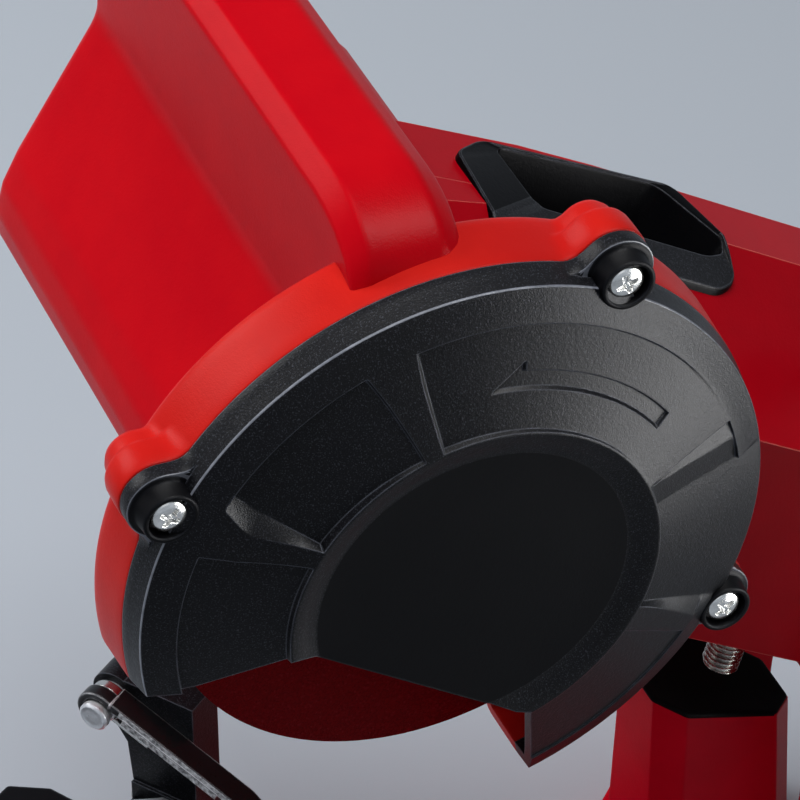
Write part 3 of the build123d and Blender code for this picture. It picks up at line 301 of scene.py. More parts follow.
# A colour given as it looks on a screen, 0 to 255, turned into linear light
def rgb(screen):
    parts = np.array(screen) / 255
    linear = np.where(parts <= 0.04045, parts / 12.92, ((parts + 0.055) / 1.055) ** 2.4)
    return (*linear.tolist(), 1.0)


def newMaterial(name):
    material = bpy.data.materials.new(name)
    material.use_nodes = True
    return material, material.node_tree, material.node_tree.nodes["Principled BSDF"]


# A group placed in a material with its own values
def placeGroup(tree, key, **values):
    return addNode(tree, "Group", values, node_tree=groups[key])


# A moulded or metal finish: mottled colour, rubbed edges that are partly a painted highlight, pale flecks
# that are painted glints where set, and grain in the roughness and the bump
def makeFinish(name, row):
    look = {**usual, **dict(zip(finishColumns, row)), **row[-1]}
    roughSpread, bumpShare, brushedShare = 0.07, 0.6, 0.7
    colour, shade, wornAndHighlight = rgb(look["colour"]), rgb(look["shade"]), rgb(look["wornAndHighlight"])
    grainSize, radius = look["grain"] * mm, look["round"] * mm
    material, tree, shader = newMaterial(name)
    grain = placeGroup(tree, "grain", Size=grainSize)
    mottle = placeGroup(tree, "mottle", Size=look["mottle"] * mm, Amount=1.0)
    edge = {"Radius": radius, "Reach": look["wear"], "Sharpest": look["sharpest"], "Whole": look["whole"]}
    colour = mix(tree, "RGBA", mottle["Mask"], colour, shade)
    colour = mix(tree, "RGBA", placeGroup(tree, "edge", **edge)["Mask"], colour, wornAndHighlight)
    # Pale flecks of the rubbed-edge colour at the grain's peaks: painted glints of the texture's sparkle
    if look["glints"]:
        glints = arithmetic(tree, "MULTIPLY", grain["Glints"], look["glints"])
        colour = mix(tree, "RGBA", glints, colour, wornAndHighlight)
    rough = mix(tree, "FLOAT", grain["Height"], look["rough"] - roughSpread, look["rough"] + roughSpread)
    height = grain["Height"]
    if look["brushed"]:
        scratches = placeGroup(tree, "brushed", Stretch=look["brushed"])
        height = mix(tree, "FLOAT", brushedShare, height, scratches["Height"])
    relief = {"Height": height, "Strength": look["depth"], "Distance": grainSize * bumpShare}
    relief["Normal"] = addNode(tree, "Bevel", {"Radius": radius}, samples=4)[0]
    setSockets(tree, shader, {
        "Base Color": colour, "Roughness": rough, "Metallic": look["metal"],
        "Specular IOR Level": look["shine"], "Normal": addNode(tree, "Bump", relief)[0],
    })
    return material


made = {name: makeFinish(name, row) for name, row in finishes.items()}

wheelLook = {
    "cells": 2600.0, "binder": (104, 3, 9), "pale": (130, 8, 15), "paleShare": 0.8, "rough": 0.85,
    "spot": (128, 20, 26), "spotFrom": 0.93, "spotTo": 0.97, "pores": 0.5, "poreDeep": 0.0003, "shine": 0.015,
}


# Bonded grit: cells between two tones of the binder, a few of them spots, with open pores between
def makeWheelFinish(look):
    material, tree, shader = newMaterial("grindingRed")
    cells = addNode(tree, "TexVoronoi", {"Vector": objectPlace(tree), "Scale": look["cells"]})
    pick = addNode(tree, "SeparateColor", {"Color": cells["Color"]})
    tone = ranged(tree, pick["Red"], 0.0, 1.0, 0.0, look["paleShare"])
    colour = mix(tree, "RGBA", tone, rgb(look["binder"]), rgb(look["pale"]))
    spots = ranged(tree, pick["Green"], look["spotFrom"], look["spotTo"])
    pores = {"Height": cells["Distance"], "Strength": look["pores"], "Distance": look["poreDeep"]}
    setSockets(tree, shader, {
        "Base Color": mix(tree, "RGBA", spots, colour, rgb(look["spot"])), "Roughness": look["rough"],
        "Specular IOR Level": look["shine"], "Normal": addNode(tree, "Bump", pores)[0],
    })
    return material


made["grindingRed"] = makeWheelFinish(wheelLook)
print("finishes ready")

# The CAD nodes that take each finish
dress = {
    "redShell": "guard_shell",
    "redHousing": "motor_housing",
    "redArm": "arm_shell_right arm_shell_left",
    "redBase": "base_housing",
    "grindingRed": "grinding_wheel",
    "blackMoulding": "guard_cover switch_housing stop_pad stop_bracket",
    "blackSmooth": (
        "lock_knob cord_gland rocker_switch depth_knob cooling_fan lever_grip adjust_knob brush_holders"
    ),
    "brightSteel": (
        "pivot_shaft pivot_nuts cover_screws housing_screws return_spring stop_insert depth_screw "
        "inner_flange outer_flange spindle_nut rotor_shaft front_bearing rear_bearing swivel_bolt "
        "rail_screws guide_pins clamp_stud stop_pin stop_spring adjust_screw"
    ),
    "darkChrome": "clamp_lever stop_pawl",
    "railSteel": "turntable fixed_rail moving_rail thrust_plate",
    "bronze": "pivot_bushes",
    "copper": "rotor_coils stator_coils commutator",
    "iron": "rotor_core stator_core",
    "carbon": "carbon_brushes",
    "whitePlate": "angle_scale",
}
for finish, names in dress.items():
    for name in names.split():
        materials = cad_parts[name].data.materials
        materials.clear()
        materials.append(made[finish])
undressed = set(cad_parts) - set(" ".join(dress.values()).split())
print("CAD nodes dressed; without a finish:", sorted(undressed))


def lengthOf(vectors):
    return np.linalg.norm(vectors, axis=-1, keepdims=True)


# Evenly spaced angles of one full turn
def fullTurn(count):
    return np.linspace(0, 2 * np.pi, count, endpoint=False)


# Points at a radius and an angle round the x axis
def turned(x, radius, angle):
    return joinAxes(x, radius * np.cos(angle), radius * np.sin(angle))


# A polygon whose corners become quadratic curves: each leaves its edge a radius before the corner
def roundCorners(corners, radii, steps):
    corners = np.asarray(corners, float)
    before, after = np.roll(corners, 1, axis=0) - corners, np.roll(corners, -1, axis=0) - corners
    longest = 0.45 * np.minimum(lengthOf(before), lengthOf(after))
    reach = np.minimum(np.broadcast_to(radii, (len(corners),))[:, None], longest)
    start = corners + before / lengthOf(before) * reach
    end = corners + after / lengthOf(after) * reach
    t = np.linspace(0, 1, steps + 1)[None, :, None]
    curve = (1 - t) ** 2 * start[:, None] + 2 * t * (1 - t) * corners[:, None] + t ** 2 * end[:, None]
    return curve.reshape(-1, 2)


# A polygon's corners, listed against the clock, moved inwards along their mitres
def insetCorners(corners, distance):
    corners = np.asarray(corners, float)
    ahead = np.roll(corners, -1, axis=0) - corners
    ahead /= lengthOf(ahead)
    normal = np.stack((-ahead[:, 1], ahead[:, 0]), -1)
    before = np.roll(normal, 1, axis=0)
    return corners + distance * (before + normal) / (1 + np.sum(before * normal, axis=1, keepdims=True))


# Quads between neighbouring rows and columns of a grid, whose columns run round. The first and the last row
# are left open, closed by a polygon each or joined to one another
def gridFaces(rows, columns, ends):
    r, c = np.meshgrid(np.arange(rows if ends == "joined" else rows - 1), np.arange(columns), indexing="ij")
    here, ahead, aside = r * columns, (r + 1) % rows * columns, (c + 1) % columns
    faces = np.stack((here + c, here + aside, ahead + aside, ahead + c), -1).reshape(-1, 4).tolist()
    if ends == "capped":
        faces += [list(range(columns))[::-1], list(range((rows - 1) * columns, rows * columns))]
    return faces


def finishShading(mesh, sharp):
    mesh.polygons.foreach_set("use_smooth", np.ones(len(mesh.polygons), bool))
    mesh.set_sharp_from_angle(angle=radians(sharp))
    mesh.update()


# A mesh over a grid of points; close points are merged and faces are turned outwards
def buildMesh(name, points, ends="open", sharp=35.0):
    mesh = bpy.data.meshes.new(name)
    mesh.from_pydata(points.reshape(-1, 3).tolist(), [], gridFaces(*points.shape[:2], ends))
    work = bmesh.new()
    work.from_mesh(mesh)
    bmesh.ops.remove_doubles(work, verts=work.verts, dist=0.000004)
    bmesh.ops.dissolve_degenerate(work, edges=work.edges, dist=0.000001)
    bmesh.ops.recalc_face_normals(work, faces=work.faces)
    work.to_mesh(mesh)
    work.free()
    finishShading(mesh, sharp)
    return mesh


def joinedMesh(name, parts):
    joined = bmesh.new()
    for part in parts:
        joined.from_mesh(part)
    mesh = bpy.data.meshes.new(name)
    joined.to_mesh(mesh)
    joined.free()
    finishShading(mesh, 40.0)
    return mesh


# The mesh with a closed cutter's space taken out of it
def cutAway(name, mesh, cutter, sharp):
    whole, tool = bpy.data.objects.new("whole", mesh), bpy.data.objects.new("cutter", cutter)
    scene.collection.objects.link(whole)
    scene.collection.objects.link(tool)
    cut = whole.modifiers.new("cut", "BOOLEAN")
    cut.operation, cut.solver, cut.object = "DIFFERENCE", "EXACT", tool
    graph = bpy.context.evaluated_depsgraph_get()
    result = bpy.data.meshes.new_from_object(whole.evaluated_get(graph))
    bpy.data.objects.remove(whole)
    bpy.data.objects.remove(tool)
    result.materials.clear()
    result.name = name
    finishShading(result, sharp)
    return result


def newPiece(mesh, finish, body, slot, *replaced):
    piece = bpy.data.objects.new(mesh.name, mesh)
    scene.collection.objects.link(piece)
    mesh.materials.append(made[finish])
    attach(piece, body)
    if replaced:
        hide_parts(*replaced)


# Every face's centre or normal
def faceValues(mesh, kind):
    values = np.zeros(len(mesh.polygons) * 3)
    mesh.polygons.foreach_get(kind, values)
    return values.reshape(-1, 3)


# More finishes on a piece, and the number of the one that each face takes
def finishFaces(mesh, names, which):
    for name in names:
        mesh.materials.append(made[name])
    mesh.polygons.foreach_set("material_index", which.astype(np.int32))


# The lower of two distances, rounded where they are closer than the blend width
def smoothUnion(first, second, blend):
    h = np.clip(0.5 + 0.5 * (second - first) / blend, 0, 1)
    return second * (1 - h) + first * h - blend * h * (1 - h)


# 0 below low, 1 above high, and a smooth rise between
def step(value, low, high):
    t = np.clip((value - low) / (high - low), 0, 1)
    return t * t * (3 - 2 * t)


# The guard's three lugs by angle and distance from the spindle, and the cover's collars and skirt
guard = {
    "lugAngles": (60.1, 150.0, 330.2), "lugFar": (65.5, 65.1, 65.7), "collarR": 7.0, "blend": 4.5,
    "flare": 0.19,
}
lugCentres = list(zip(*polar(np.array(guard["lugFar"]), guard["lugAngles"])))
# The cover's front from its centre outwards, as radius and x
coverFront = (
    (31.4, 7.6), (31.9, 7.64), (36.9, 9.50), (37.2, 9.52), (37.5, 9.42), (57.2, 3.26), (57.8, 2.98),
    (62.4, 0.50), (63, 0.20), (63.14, 0.08), (63.2, -0.25),
)
# The cover's skirt and its collars: x, and how far inside the collar's edge, where there is one
coverWall = (
    (-1.2, None), (-2.5, None), (-2.6, 0.9), (-2.62, 0.30), (-2.72, 0.08), (-2.95, 0), (-4.2, -0.04),
    (-5.7, -0.06), (-5.9, 0), (-6, 0.2),
)
coverInside = (
    (-6, 61.4), (-1.2, 60.5), (0.3, 56.6), (6.3, 37.6), (6.4, 36.2), (4.9, 32.4), (4.9, 20), (4.9, 0),
)
# The fan's radii, the slope under a lowered sector that runs on to the rim, and the pitch of its columns
fan = {
    "from": 38.0, "middle": 50.8, "long": 19.4, "rim": 56.8, "runHigh": 9.28, "runSlope": 0.3135,
    "pitch": 0.27, "plainPitch": 2.4, "lugPitch": 1.2, "lugReach": 12, "arrowSpan": (34.0, 87.0),
}
# Rays of the fan: angle at radius 38, 50.8 and 57.4, the depth under the cone inside and outside, and whether
# the lowered cone runs on to the rim
fanRays = np.array((
    (-85, -85, -85, 0.4, 0.4, 0), (-35.1, -35.3, -35.4, 0.4, 0.4, 0),
    (-34.7, -34.9, -35, 0, 0, 0), (-25.6, -29.6, -31.4, 0, 0, 0),
    (-25.1, -26.2, -26.8, 1.2, 1.2, 1), (12, 9, 7.8, 1.2, 1.2, 1),
    (12.4, 9.4, 8.3, 1.16, 1.16, 0), (21, 16, 14.3, 0.2, 0.3, 0),
    (21.4, 19.4, 18.5, 0.5, 1, 0), (21.8, 19.9, 19, 0, 0, 0),
    (34, 34, 34, 0.1, 0.1, 0), (88, 87.6, 87.4, 1, 1, 0),
    (100.2, 99.6, 99.3, 1.2, 1.3, 0), (101, 100.6, 99.8, 0, 0, 0),
    (106.4, 108.4, 109.7, 0, 0, 0), (106.8, 108.8, 110.1, 0.7, 0.7, 0),
    (143.9, 143.2, 142.4, 2, 2.2, 0), (144.7, 148.2, 144.9, 0, 0, 0),
    (150.5, 154.8, 155.9, 0, 0, 0), (150.9, 155.2, 156.3, 0.9, 0.9, 0),
    (205, 205, 205, 1.6, 1.6, 0), (274.6, 274.6, 274.6, 0.4, 0.4, 0),
))
# The arrow's band by radius and angle, its barb's tip and peak as angle and radius, and its depth
arrow = {
    "inner": 45.0, "outer": 48.2, "from": 35.0, "to": 77.6, "tip": (85.4, 44.9), "peak": (77.4, 50.0),
    "overlap": 0.3, "soft": 0.12, "deep": 0.75,
}
wheelOpening = (
    (-80, -13.8), (-53.5, -8.5), (-37, -3), (-32, -5), (2, -30.5), (8.5, -34.5), (11.6, -35.4),
    (16.3, -63.3), (18.4, -80), (-80, -80),
)


# Radius of the guard's edge at each angle: the outer root of a disc and three lug circles joined by a
# smooth union, found by halving an interval
def guardOutline(angles, ringR, lugR, blend):
    low, high = np.full(angles.shape, ringR - 1.0), np.full(angles.shape, ringR + 16.0)
    for _ in range(30):
        middle = (low + high) / 2
        y, z = polar(middle, angles)
        distance = middle - ringR
        for lugY, lugZ in lugCentres:
            distance = smoothUnion(distance, np.hypot(y - lugY, z - lugZ) - lugR, blend)
        low, high = np.where(distance < 0, middle, low), np.where(distance < 0, high, middle)
    return (low + high) / 2


# The cover's columns as places along the list of rays: one step per cliff, and small steps elsewhere, the
# smallest at the arrow and small ones at the lugs
def fanColumns():
    places, fine = [], fan["pitch"]
    arrowFrom, arrowTo = fan["arrowSpan"]
    for index, (start, end) in enumerate(zip(fanRays[:-1, 1], fanRays[1:, 1])):
        span = end - start
        near = min(abs((start + span / 2 - lug + 180) % 360 - 180) for lug in guard["lugAngles"])
        pitch = fine * (fan["lugPitch"] if near < span / 2 + fan["lugReach"] else fan["plainPitch"])
        pitch = fine if arrowFrom <= start < arrowTo else pitch
        count = max(1, int(np.ceil(span / pitch)))
        places.append(index + np.arange(count) / count)
    return np.concatenate(places)


# 1 inside the arrow and 0 outside: an arc band, and a barb whose two edges are straight lines in the plane
def arrowDepth(radius, angle):
    def inside(distance):
        return step(distance, -arrow["soft"], arrow["soft"])

    arc = radius * np.radians(1)
    (tipAngle, tipR), (peakAngle, peakR) = arrow["tip"], arrow["peak"]
    (tipY, tipZ), (peakY, peakZ) = polar(tipR, tipAngle), polar(peakR, peakAngle)
    y, z = polar(radius, angle)
    alongY, alongZ = peakY - tipY, peakZ - tipZ
    under = (alongY * (tipZ - z) - alongZ * (tipY - y)) / np.hypot(alongY, alongZ)
    within = inside(radius - arrow["inner"])
    band = within * inside(arrow["outer"] - radius)
    band = band * inside((angle - arrow["from"]) * arc) * inside((arrow["to"] - angle) * arc)
    barb = inside(under) * within
    barb = barb * inside((angle - peakAngle) * arc) * inside((tipAngle + arrow["overlap"] - angle) * arc)
    return np.maximum(band, barb)


# The skirt's radius, which grows behind the rim's edge
def skirtR(x):
    edgeR, edgeX = coverFront[-1]
    return edgeR + guard["flare"] * (edgeX - x)


# The cover: a turned profile whose cone is lowered sector by sector, whose wall follows the lugs, closed by
# a plain inner skin
def coverPoints():
    places = fanColumns()
    rays = (np.interp(places, np.arange(len(fanRays)), column)[None] for column in fanRays.T)
    innerAngle, middleAngle, outerAngle, innerDeep, outerDeep, runsOn = rays
    radii = np.concatenate((
        [0.0, 12.0, 22.0, 31.4, 31.65, 31.9, 34.4, 36.9, 37.05, 37.2, 37.35, 37.5, 37.6, 37.75, 38.0, 38.5],
        np.arange(39.5, 44.5, 1.0), np.arange(44.6, 50.6, 0.2), np.arange(51.5, 56.6, 0.85),
        [56.9, 57.05, 57.2, 57.5, 57.8, 59.2, 60.7, 62.4, 62.7, 63.0, 63.08, 63.14, 63.18, 63.2],
    ))[:, None]
    share = np.clip((radii - fan["from"]) / fan["long"], 0, 1)
    half = (fan["middle"] - fan["from"]) / fan["long"]
    toMiddle = innerAngle + (middleAngle - innerAngle) * share / half
    toOuter = middleAngle + (outerAngle - middleAngle) * (share - half) / (1 - half)
    angle = np.where(share < half, toMiddle, toOuter)
    deep = innerDeep * (1 - share) + outerDeep * share
    window = step(radii, 37.5, 37.75) * (1 - step(radii, 56.9, 57.2))
    cone = np.interp(radii, *np.array(coverFront).T) - deep * window
    runsOn = runsOn * (radii > fan["rim"])
    lowered = fan["runHigh"] - fan["runSlope"] * (radii - fan["from"]) - deep
    x = cone * (1 - runsOn) + np.minimum(cone, lowered) * runsOn
    x = x - arrow["deep"] * arrowDepth(radii, angle) * window
    rows = [turned(x, radii, np.radians(angle))]
    edge = np.radians(outerAngle)
    for rowX, back in coverWall:
        rowR = skirtR(rowX)
        if back is not None:
            collar = guardOutline(outerAngle, rowR, guard["collarR"], guard["blend"])
            rowR = np.maximum(rowR, collar - back)
        rows.append(turned(rowX, rowR, edge))
    return np.concatenate(rows + [turned(rowX, rowR, edge) for rowX, rowR in coverInside])


# A prism over the wheel opening's outline
def openingCutter(low, high):
    y, z = np.array(wheelOpening).T
    return buildMesh("openingCutter", rowToWorld(joinAxes(np.array([[low], [high]]), y, z)), "capped")


def makeCover():
    hubR, rimR, rimX, collarR, collarX = 31.5, 62.98, -0.3, 64.2, -2.8
    whole = buildMesh("coverWhole", rowToWorld(coverPoints()))
    mesh = cutAway("guardCover", whole, openingCutter(-12, 14), 30.0)
    newPiece(mesh, "blackMoulding", "head", "black_moulding", "guard_cover")
    x, y, z = (faceValues(mesh, "center") - np.array(headFrame["origin"])).T / mm
    radius = np.hypot(y, z)
    # The rim's and the collars' outer faces take a pale grey: a painted highlight along the cover's edge
    onHighlightRim = (radius > rimR) & (x > rimX) | (radius > collarR) & (x > collarX)
    finishFaces(mesh, ("blackSmooth", "rimHighlightGrey"), (radius < hubR) + 2 * onHighlightRim)


# One lug's barrel: neck, rim and recess, as x and radius
lugBarrel = (
    (-3.2, 6.9), (-2.52, 6.7), (-2.4, 5.85), (-2.1, 5.62), (1.25, 5.32), (1.5, 5.24), (1.6, 5.1), (1.6, 4.5),
    (1.5, 4.34), (-1.3, 4.2), (-1.45, 4), (-1.5, 1.9), (-4.5, 1.9), (-4.5, 6.9),
)


# A profile of x and radius turned about an axis along x through a centre (y, z)
def turnedMesh(name, profile, centre, sides, ends, sharp):
    x, radius = np.array(profile).T[:, :, None]
    return buildMesh(name, rowToWorld(turned(x, radius, fullTurn(sides)) + (0, *centre)), ends, sharp)


def makeLugBarrels():
    for index, centre in enumerate(lugCentres):
        mesh = turnedMesh(f"lugBarrel{index}", lugBarrel, centre, 64, "joined", 50.0)
        newPiece(mesh, "blackSmooth", "head", "black_moulding")


coverScrew = {
    "headR": 3.45, "seatX": -1.1, "tall": 2.3, "shankR": 1.85, "long": 10.6, "turns": (18.0, 52.0, 33.0),
    "recessR": 2.0, "armWide": 0.62, "recessDeep": 1.3, "hubFrom": 0.75, "hubTo": 1.15,
}


# A pan head as a height over polar rings: a dome, less a cross whose arms taper towards its rim
def screwMesh(name, centre, turn):
    look, a = coverScrew, fullTurn(192)
    headR, recessR, shankR, tip = look["headR"], look["recessR"], look["shankR"], -look["long"]
    rings = (np.linspace(0.12, 2.3, 22), np.linspace(2.45, headR - 0.25, 6))
    r = np.concatenate(([0.0], *rings, [headR - 0.1, headR]))[:, None]
    dome = look["tall"] - 0.75 * (r / headR) ** 3.2 - 0.12 * step(r, headR - 0.3, headR)
    arm = np.minimum(np.abs(r * np.cos(a - radians(turn))), np.abs(r * np.sin(a - radians(turn))))
    taper = look["armWide"] * (1 - 0.30 * r / recessR)
    cross = (1 - step(arm, taper - 0.10, taper + 0.10)) * (1 - step(r, recessR - 0.12, recessR + 0.15))
    hub = 1 - step(r, look["hubFrom"], look["hubTo"])
    x = dome - look["recessDeep"] * np.maximum(cross * (1 - 0.35 * r / recessR), hub)
    skirt = (
        (0.25, headR), (0.0, headR - 0.2), (0.0, shankR),
        (tip + 0.6, shankR), (tip, shankR - 0.55), (tip, 0.0),
    )
    points = np.concatenate([turned(x, r, a)] + [turned(rowX, rowR, a)[None] for rowX, rowR in skirt])
    return buildMesh(name, rowToWorld(points + (look["seatX"], *centre)), "open", 40.0)


def makeCoverScrews():
    turns = zip(lugCentres, coverScrew["turns"])
    mesh = joinedMesh("coverScrews", [screwMesh("coverScrew", centre, turn) for centre, turn in turns])
    newPiece(mesh, "screwSteel", "head", "bright_steel", "cover_screws")


# The shell's outer wall from the seam to its back: x, ring radius, lug radius and blend width
shellWall = (
    (-6, 64.15, 6.9, 4.5), (-6.1, 64.3, 7.15, 4.5), (-6.5, 64.40, 7.3, 4.5), (-9, 64.56, 7.35, 4.2),
    (-12.4, 64.77, 7.3, 3.6), (-13.2, 64.82, 7.1, 3.4), (-13.8, 64.86, 6.4, 3), (-14.2, 64.88, 5.95, 2.8),
    (-14.8, 64.92, 5.8, 2.6), (-17, 65.05, 5.7, 2.4), (-18.4, 64.98, 5.1, 2.2), (-19.3, 64.65, 4.2, 2),
    (-19.9, 64.1, 3.1, 1.6), (-20.2, 63.3, 2.2, 1),
)
shellInside = (
    (-20.2, 40), (-20.2, 15), (-29.8, 15), (-30, 6.6), (-28, 6.6), (-28, 11), (-21, 11),
    (-21, 6.6), (-17.3, 6.6), (-17.3, 40), (-17.3, 61.2), (-16.6, 61.9), (-7, 61.5), (-6, 61.4),
)


# The red shell: its wall follows the lugs, which step down to a smaller dome behind
def makeShell():
    lugs = [np.arange(lug - 11, lug + 11, 0.5) + 0.25 for lug in guard["lugAngles"]]
    angles = np.unique(np.round(np.concatenate([np.arange(0, 360, 0.5)] + lugs) % 360, 3))
    a = np.radians(angles)
    rows = [turned(x, guardOutline(angles, ringR, lugR, blend), a) for x, ringR, lugR, blend in shellWall]
    rows += [turned(x, r, a) for x, r in shellInside]
    whole = buildMesh("shellWhole", rowToWorld(np.stack(rows)), "joined")
    mesh = cutAway("guardShell", whole, openingCutter(-40, 0), 40.0)
    newPiece(mesh, "redShell", "head", "red_shell", "guard_shell")


# The motor housing with its grip: the ends along x, the grip's lean and nose, the motor's bore and the vents
housing = {
    "backX": -144.0, "frontX": -20.2, "noseX": -9.6, "noseFrom": -31.1, "noseDrop": 13.0, "endRound": 4.5,
    "lean": 26.5, "shoulder": 7.2, "clipR": 63.2, "underGap": 0.6,
    "rearTaper": 3.2, "taperFrom": -2.0, "taperWide": 6.0,
    "boreR": 31.0, "boreEndX": -129.5, "bearingR": 11.0, "bearingX": -138.0,
    "vents": 7, "ventWide": 3.0, "ventPitch": 6.6,
}
# Corners of the section, as u, w and how far each is rounded, from the rear foot over the grip and round
# the barrel
housingCorners = np.array((
    (-17, 34, 5), (-30.6, 61.7, 1.4), (-37.4, 63.3, 1.4), (-50.3, 56.4, 0.8), (-51.8, 51.3, 0.8),
    (-34.3, 21.9, 2.5), (-34.3, -37.6, 24), (34.3, -37.6, 30), (34.3, 34, 30),
))
gripFoot = housingCorners[5]


# The section as evenly spaced points; long straight runs get more of them, so that the nose can bend them.
# Moved inwards, its corners are softened by as much, so that no curve crosses itself
def housingSection(inward):
    spacing, softer = 1.4, 1.15 * inward
    corners, radii = housingCorners[:, :2], housingCorners[:, 2]
    plain, outline = roundCorners(corners, radii, 6), roundCorners(corners, radii + softer, 6)
    counts = np.ceil(lengthOf(np.roll(plain, -1, axis=0) - plain)[:, 0] / spacing)
    counts = np.maximum(1, counts).astype(int)
    first = np.repeat(outline, counts, axis=0)
    second = np.repeat(np.roll(outline, -1, axis=0), counts, axis=0)
    passed = np.repeat(np.cumsum(counts) - counts, counts)
    place = (np.arange(counts.sum()) - passed) / np.repeat(counts, counts)
    section = first + (second - first) * place[:, None]
    tangent = np.roll(section, -1, axis=0) - np.roll(section, 1, axis=0)
    normal = np.stack((tangent[:, 1], -tangent[:, 0]), -1)
    return section - normal / lengthOf(normal) * inward


# A section carried along x. Its end is rounded by moving points inwards; over the nose the grip's top sinks
# along a quarter ellipse, its walls shrink under it, and what would enter the guard stays on a circle
def housingRows():
    look = housing
    u, w = housingSection(0.0).T
    c, s = polar(1, look["lean"])
    rise, aside = -u * s + w * c, u * c + w * s
    footRise = -gripFoot[0] * s + gripFoot[1] * c
    shoulder = rise.max() - look["shoulder"]
    onGrip = (rise > footRise + 3) & (w > 21.0)
    first, last = np.flatnonzero(onGrip)[[0, -1]]
    noseFrom, noseLong = look["noseFrom"], look["noseX"] - look["noseFrom"]

    # The section at x, with the grip lowered and its rear drawn in
    def sunk(x):
        along = np.clip((x - noseFrom) / noseLong, 0, 1)
        drop = look["noseDrop"] * (1 - np.sqrt(1 - along ** 2))
        wall = footRise + (rise - footRise) * (shoulder - drop - footRise) / (shoulder - footRise)
        height = np.where(onGrip, np.where(rise > shoulder, rise - drop, wall), rise)
        rearShare = np.clip((aside - look["taperFrom"]) / look["taperWide"], 0, 1) * onGrip
        moved = aside - look["rearTaper"] * along ** 2 * rearShare
        return moved * c - height * s, moved * s + height * c

    rows = []
    back, end = look["backX"], look["endRound"]
    for turn in np.linspace(0, np.pi / 2, 8):
        rows.append(joinAxes(back + end * (1 - np.cos(turn)), *housingSection(end * (1 - np.sin(turn))).T))
    for x in np.arange(back + end + 6, noseFrom - 1, 12.0):
        rows.append(joinAxes(x, u, w))
    for x in (*(noseFrom + noseLong * along for along in (0.0, 0.16, 0.30, 0.42)), look["frontX"]):
        rows.append(joinAxes(x, *sunk(x)))
    order = (np.arange(len(u)) - first) % len(u)
    gripCount = (last - first) % len(u) + 1
    underShare = (order - gripCount + 1) / (len(u) - gripCount + 1)
    clip, under = look["clipR"], look["clipR"] - look["underGap"]
    for turn in np.linspace(np.arcsin((look["frontX"] - noseFrom) / noseLong), np.pi / 2, 12):
        x = noseFrom + noseLong * np.sin(turn)
        nu, nw = sunk(x)
        r = np.hypot(nu, nw)
        scale = np.where(r < clip, clip / r, 1.0)
        nu, nw = nu * scale, nw * scale
        firstAngle, lastAngle = np.arctan2(nw[first], nu[first]), np.arctan2(nw[last], nu[last])
        angle = lastAngle + (firstAngle - lastAngle) * underShare
        rows.append(np.where((order < gripCount)[:, None], joinAxes(x, nu, nw), turned(x, under, angle)))
    return np.stack(rows)


# The motor's bore and the rear bearing's seat, as one turned solid about the spindle
def boreCutter():
    look = housing
    x = np.repeat((look["bearingX"], look["boreEndX"], look["frontX"] + 1), 2)
    radii = (0.0, *np.repeat((look["bearingR"], look["boreR"]), 2), 0.0)
    return turnedMesh("boreCutter", np.stack((x, radii), -1), (0.0, 0.0), 72, "open", 35.0)


# Cooling slots beside the rear bearing: prisms with rounded ends, each a solid of its own
def ventCutter():
    look = housing
    x = np.array([[look["backX"] - 2], [look["boreEndX"] + 3]])
    half, t = look["ventWide"] / 2, fullTurn(24) + np.pi / 24
    slots = []
    for side in (-1, 1):
        for index in range(look["vents"]):
            up = (index - (look["vents"] - 1) / 2) * look["ventPitch"]
            near, far = look["bearingR"] + 3, look["boreR"] - 6 - abs(up) * 0.25
            straight = np.sign(np.cos(t)) * ((far - near) / 2 - half)
            u = (near + far) / 2 * side + straight + half * np.cos(t)
            slots.append(buildMesh("ventSlot", headToWorld(x, u, up + half * np.sin(t)), "capped"))
    return joinedMesh("ventCutter", slots)


def makeHousing():
    whole = buildMesh("housingWhole", headToWorld(*np.moveaxis(housingRows(), -1, 0)), "capped", 25.0)
    bored = cutAway("housingBored", whole, boreCutter(), 25.0)
    mesh = cutAway("motorHousing", bored, ventCutter(), 25.0)
    newPiece(mesh, "redHousing", "head", "red_shell", "motor_housing")


# The switch's tray in the arm: outlines as x and u, the floor's height and fall, and the rocker's place
well = {
    "plan": (
        (-76.9, 14.8), (-70.3, 5.6), (-48.5, 5.6), (-48.5, 65.4), (-51.6, 70.3), (-59.2, 70.3), (-76.9, 64.8),
    ),
    "mouth": (
        (-75.9, 19.4), (-74, 18.2), (-56, 18.2), (-56, 64), (-57.6, 68.6), (-60.2, 68.9), (-75.9, 60.5),
    ),
    "foot": (
        (-75.2, 20.6), (-73.6, 19.6), (-56.8, 19.6), (-56.8, 63), (-58.2, 67.2), (-60.4, 67.6), (-75.2, 59.7),
    ),
    "shaft": (
        (-76.3, 15.2), (-69.9, 6.3), (-50.8, 6.3), (-50.8, 65.8), (-53.6, 69.7), (-58.9, 69.7), (-76.3, 60.9),
    ),
    "round": 3.0, "tightest": 0.8, "floorAtFront": 43.0, "floorFall": 0.235, "nearLipX": -57.0,
}
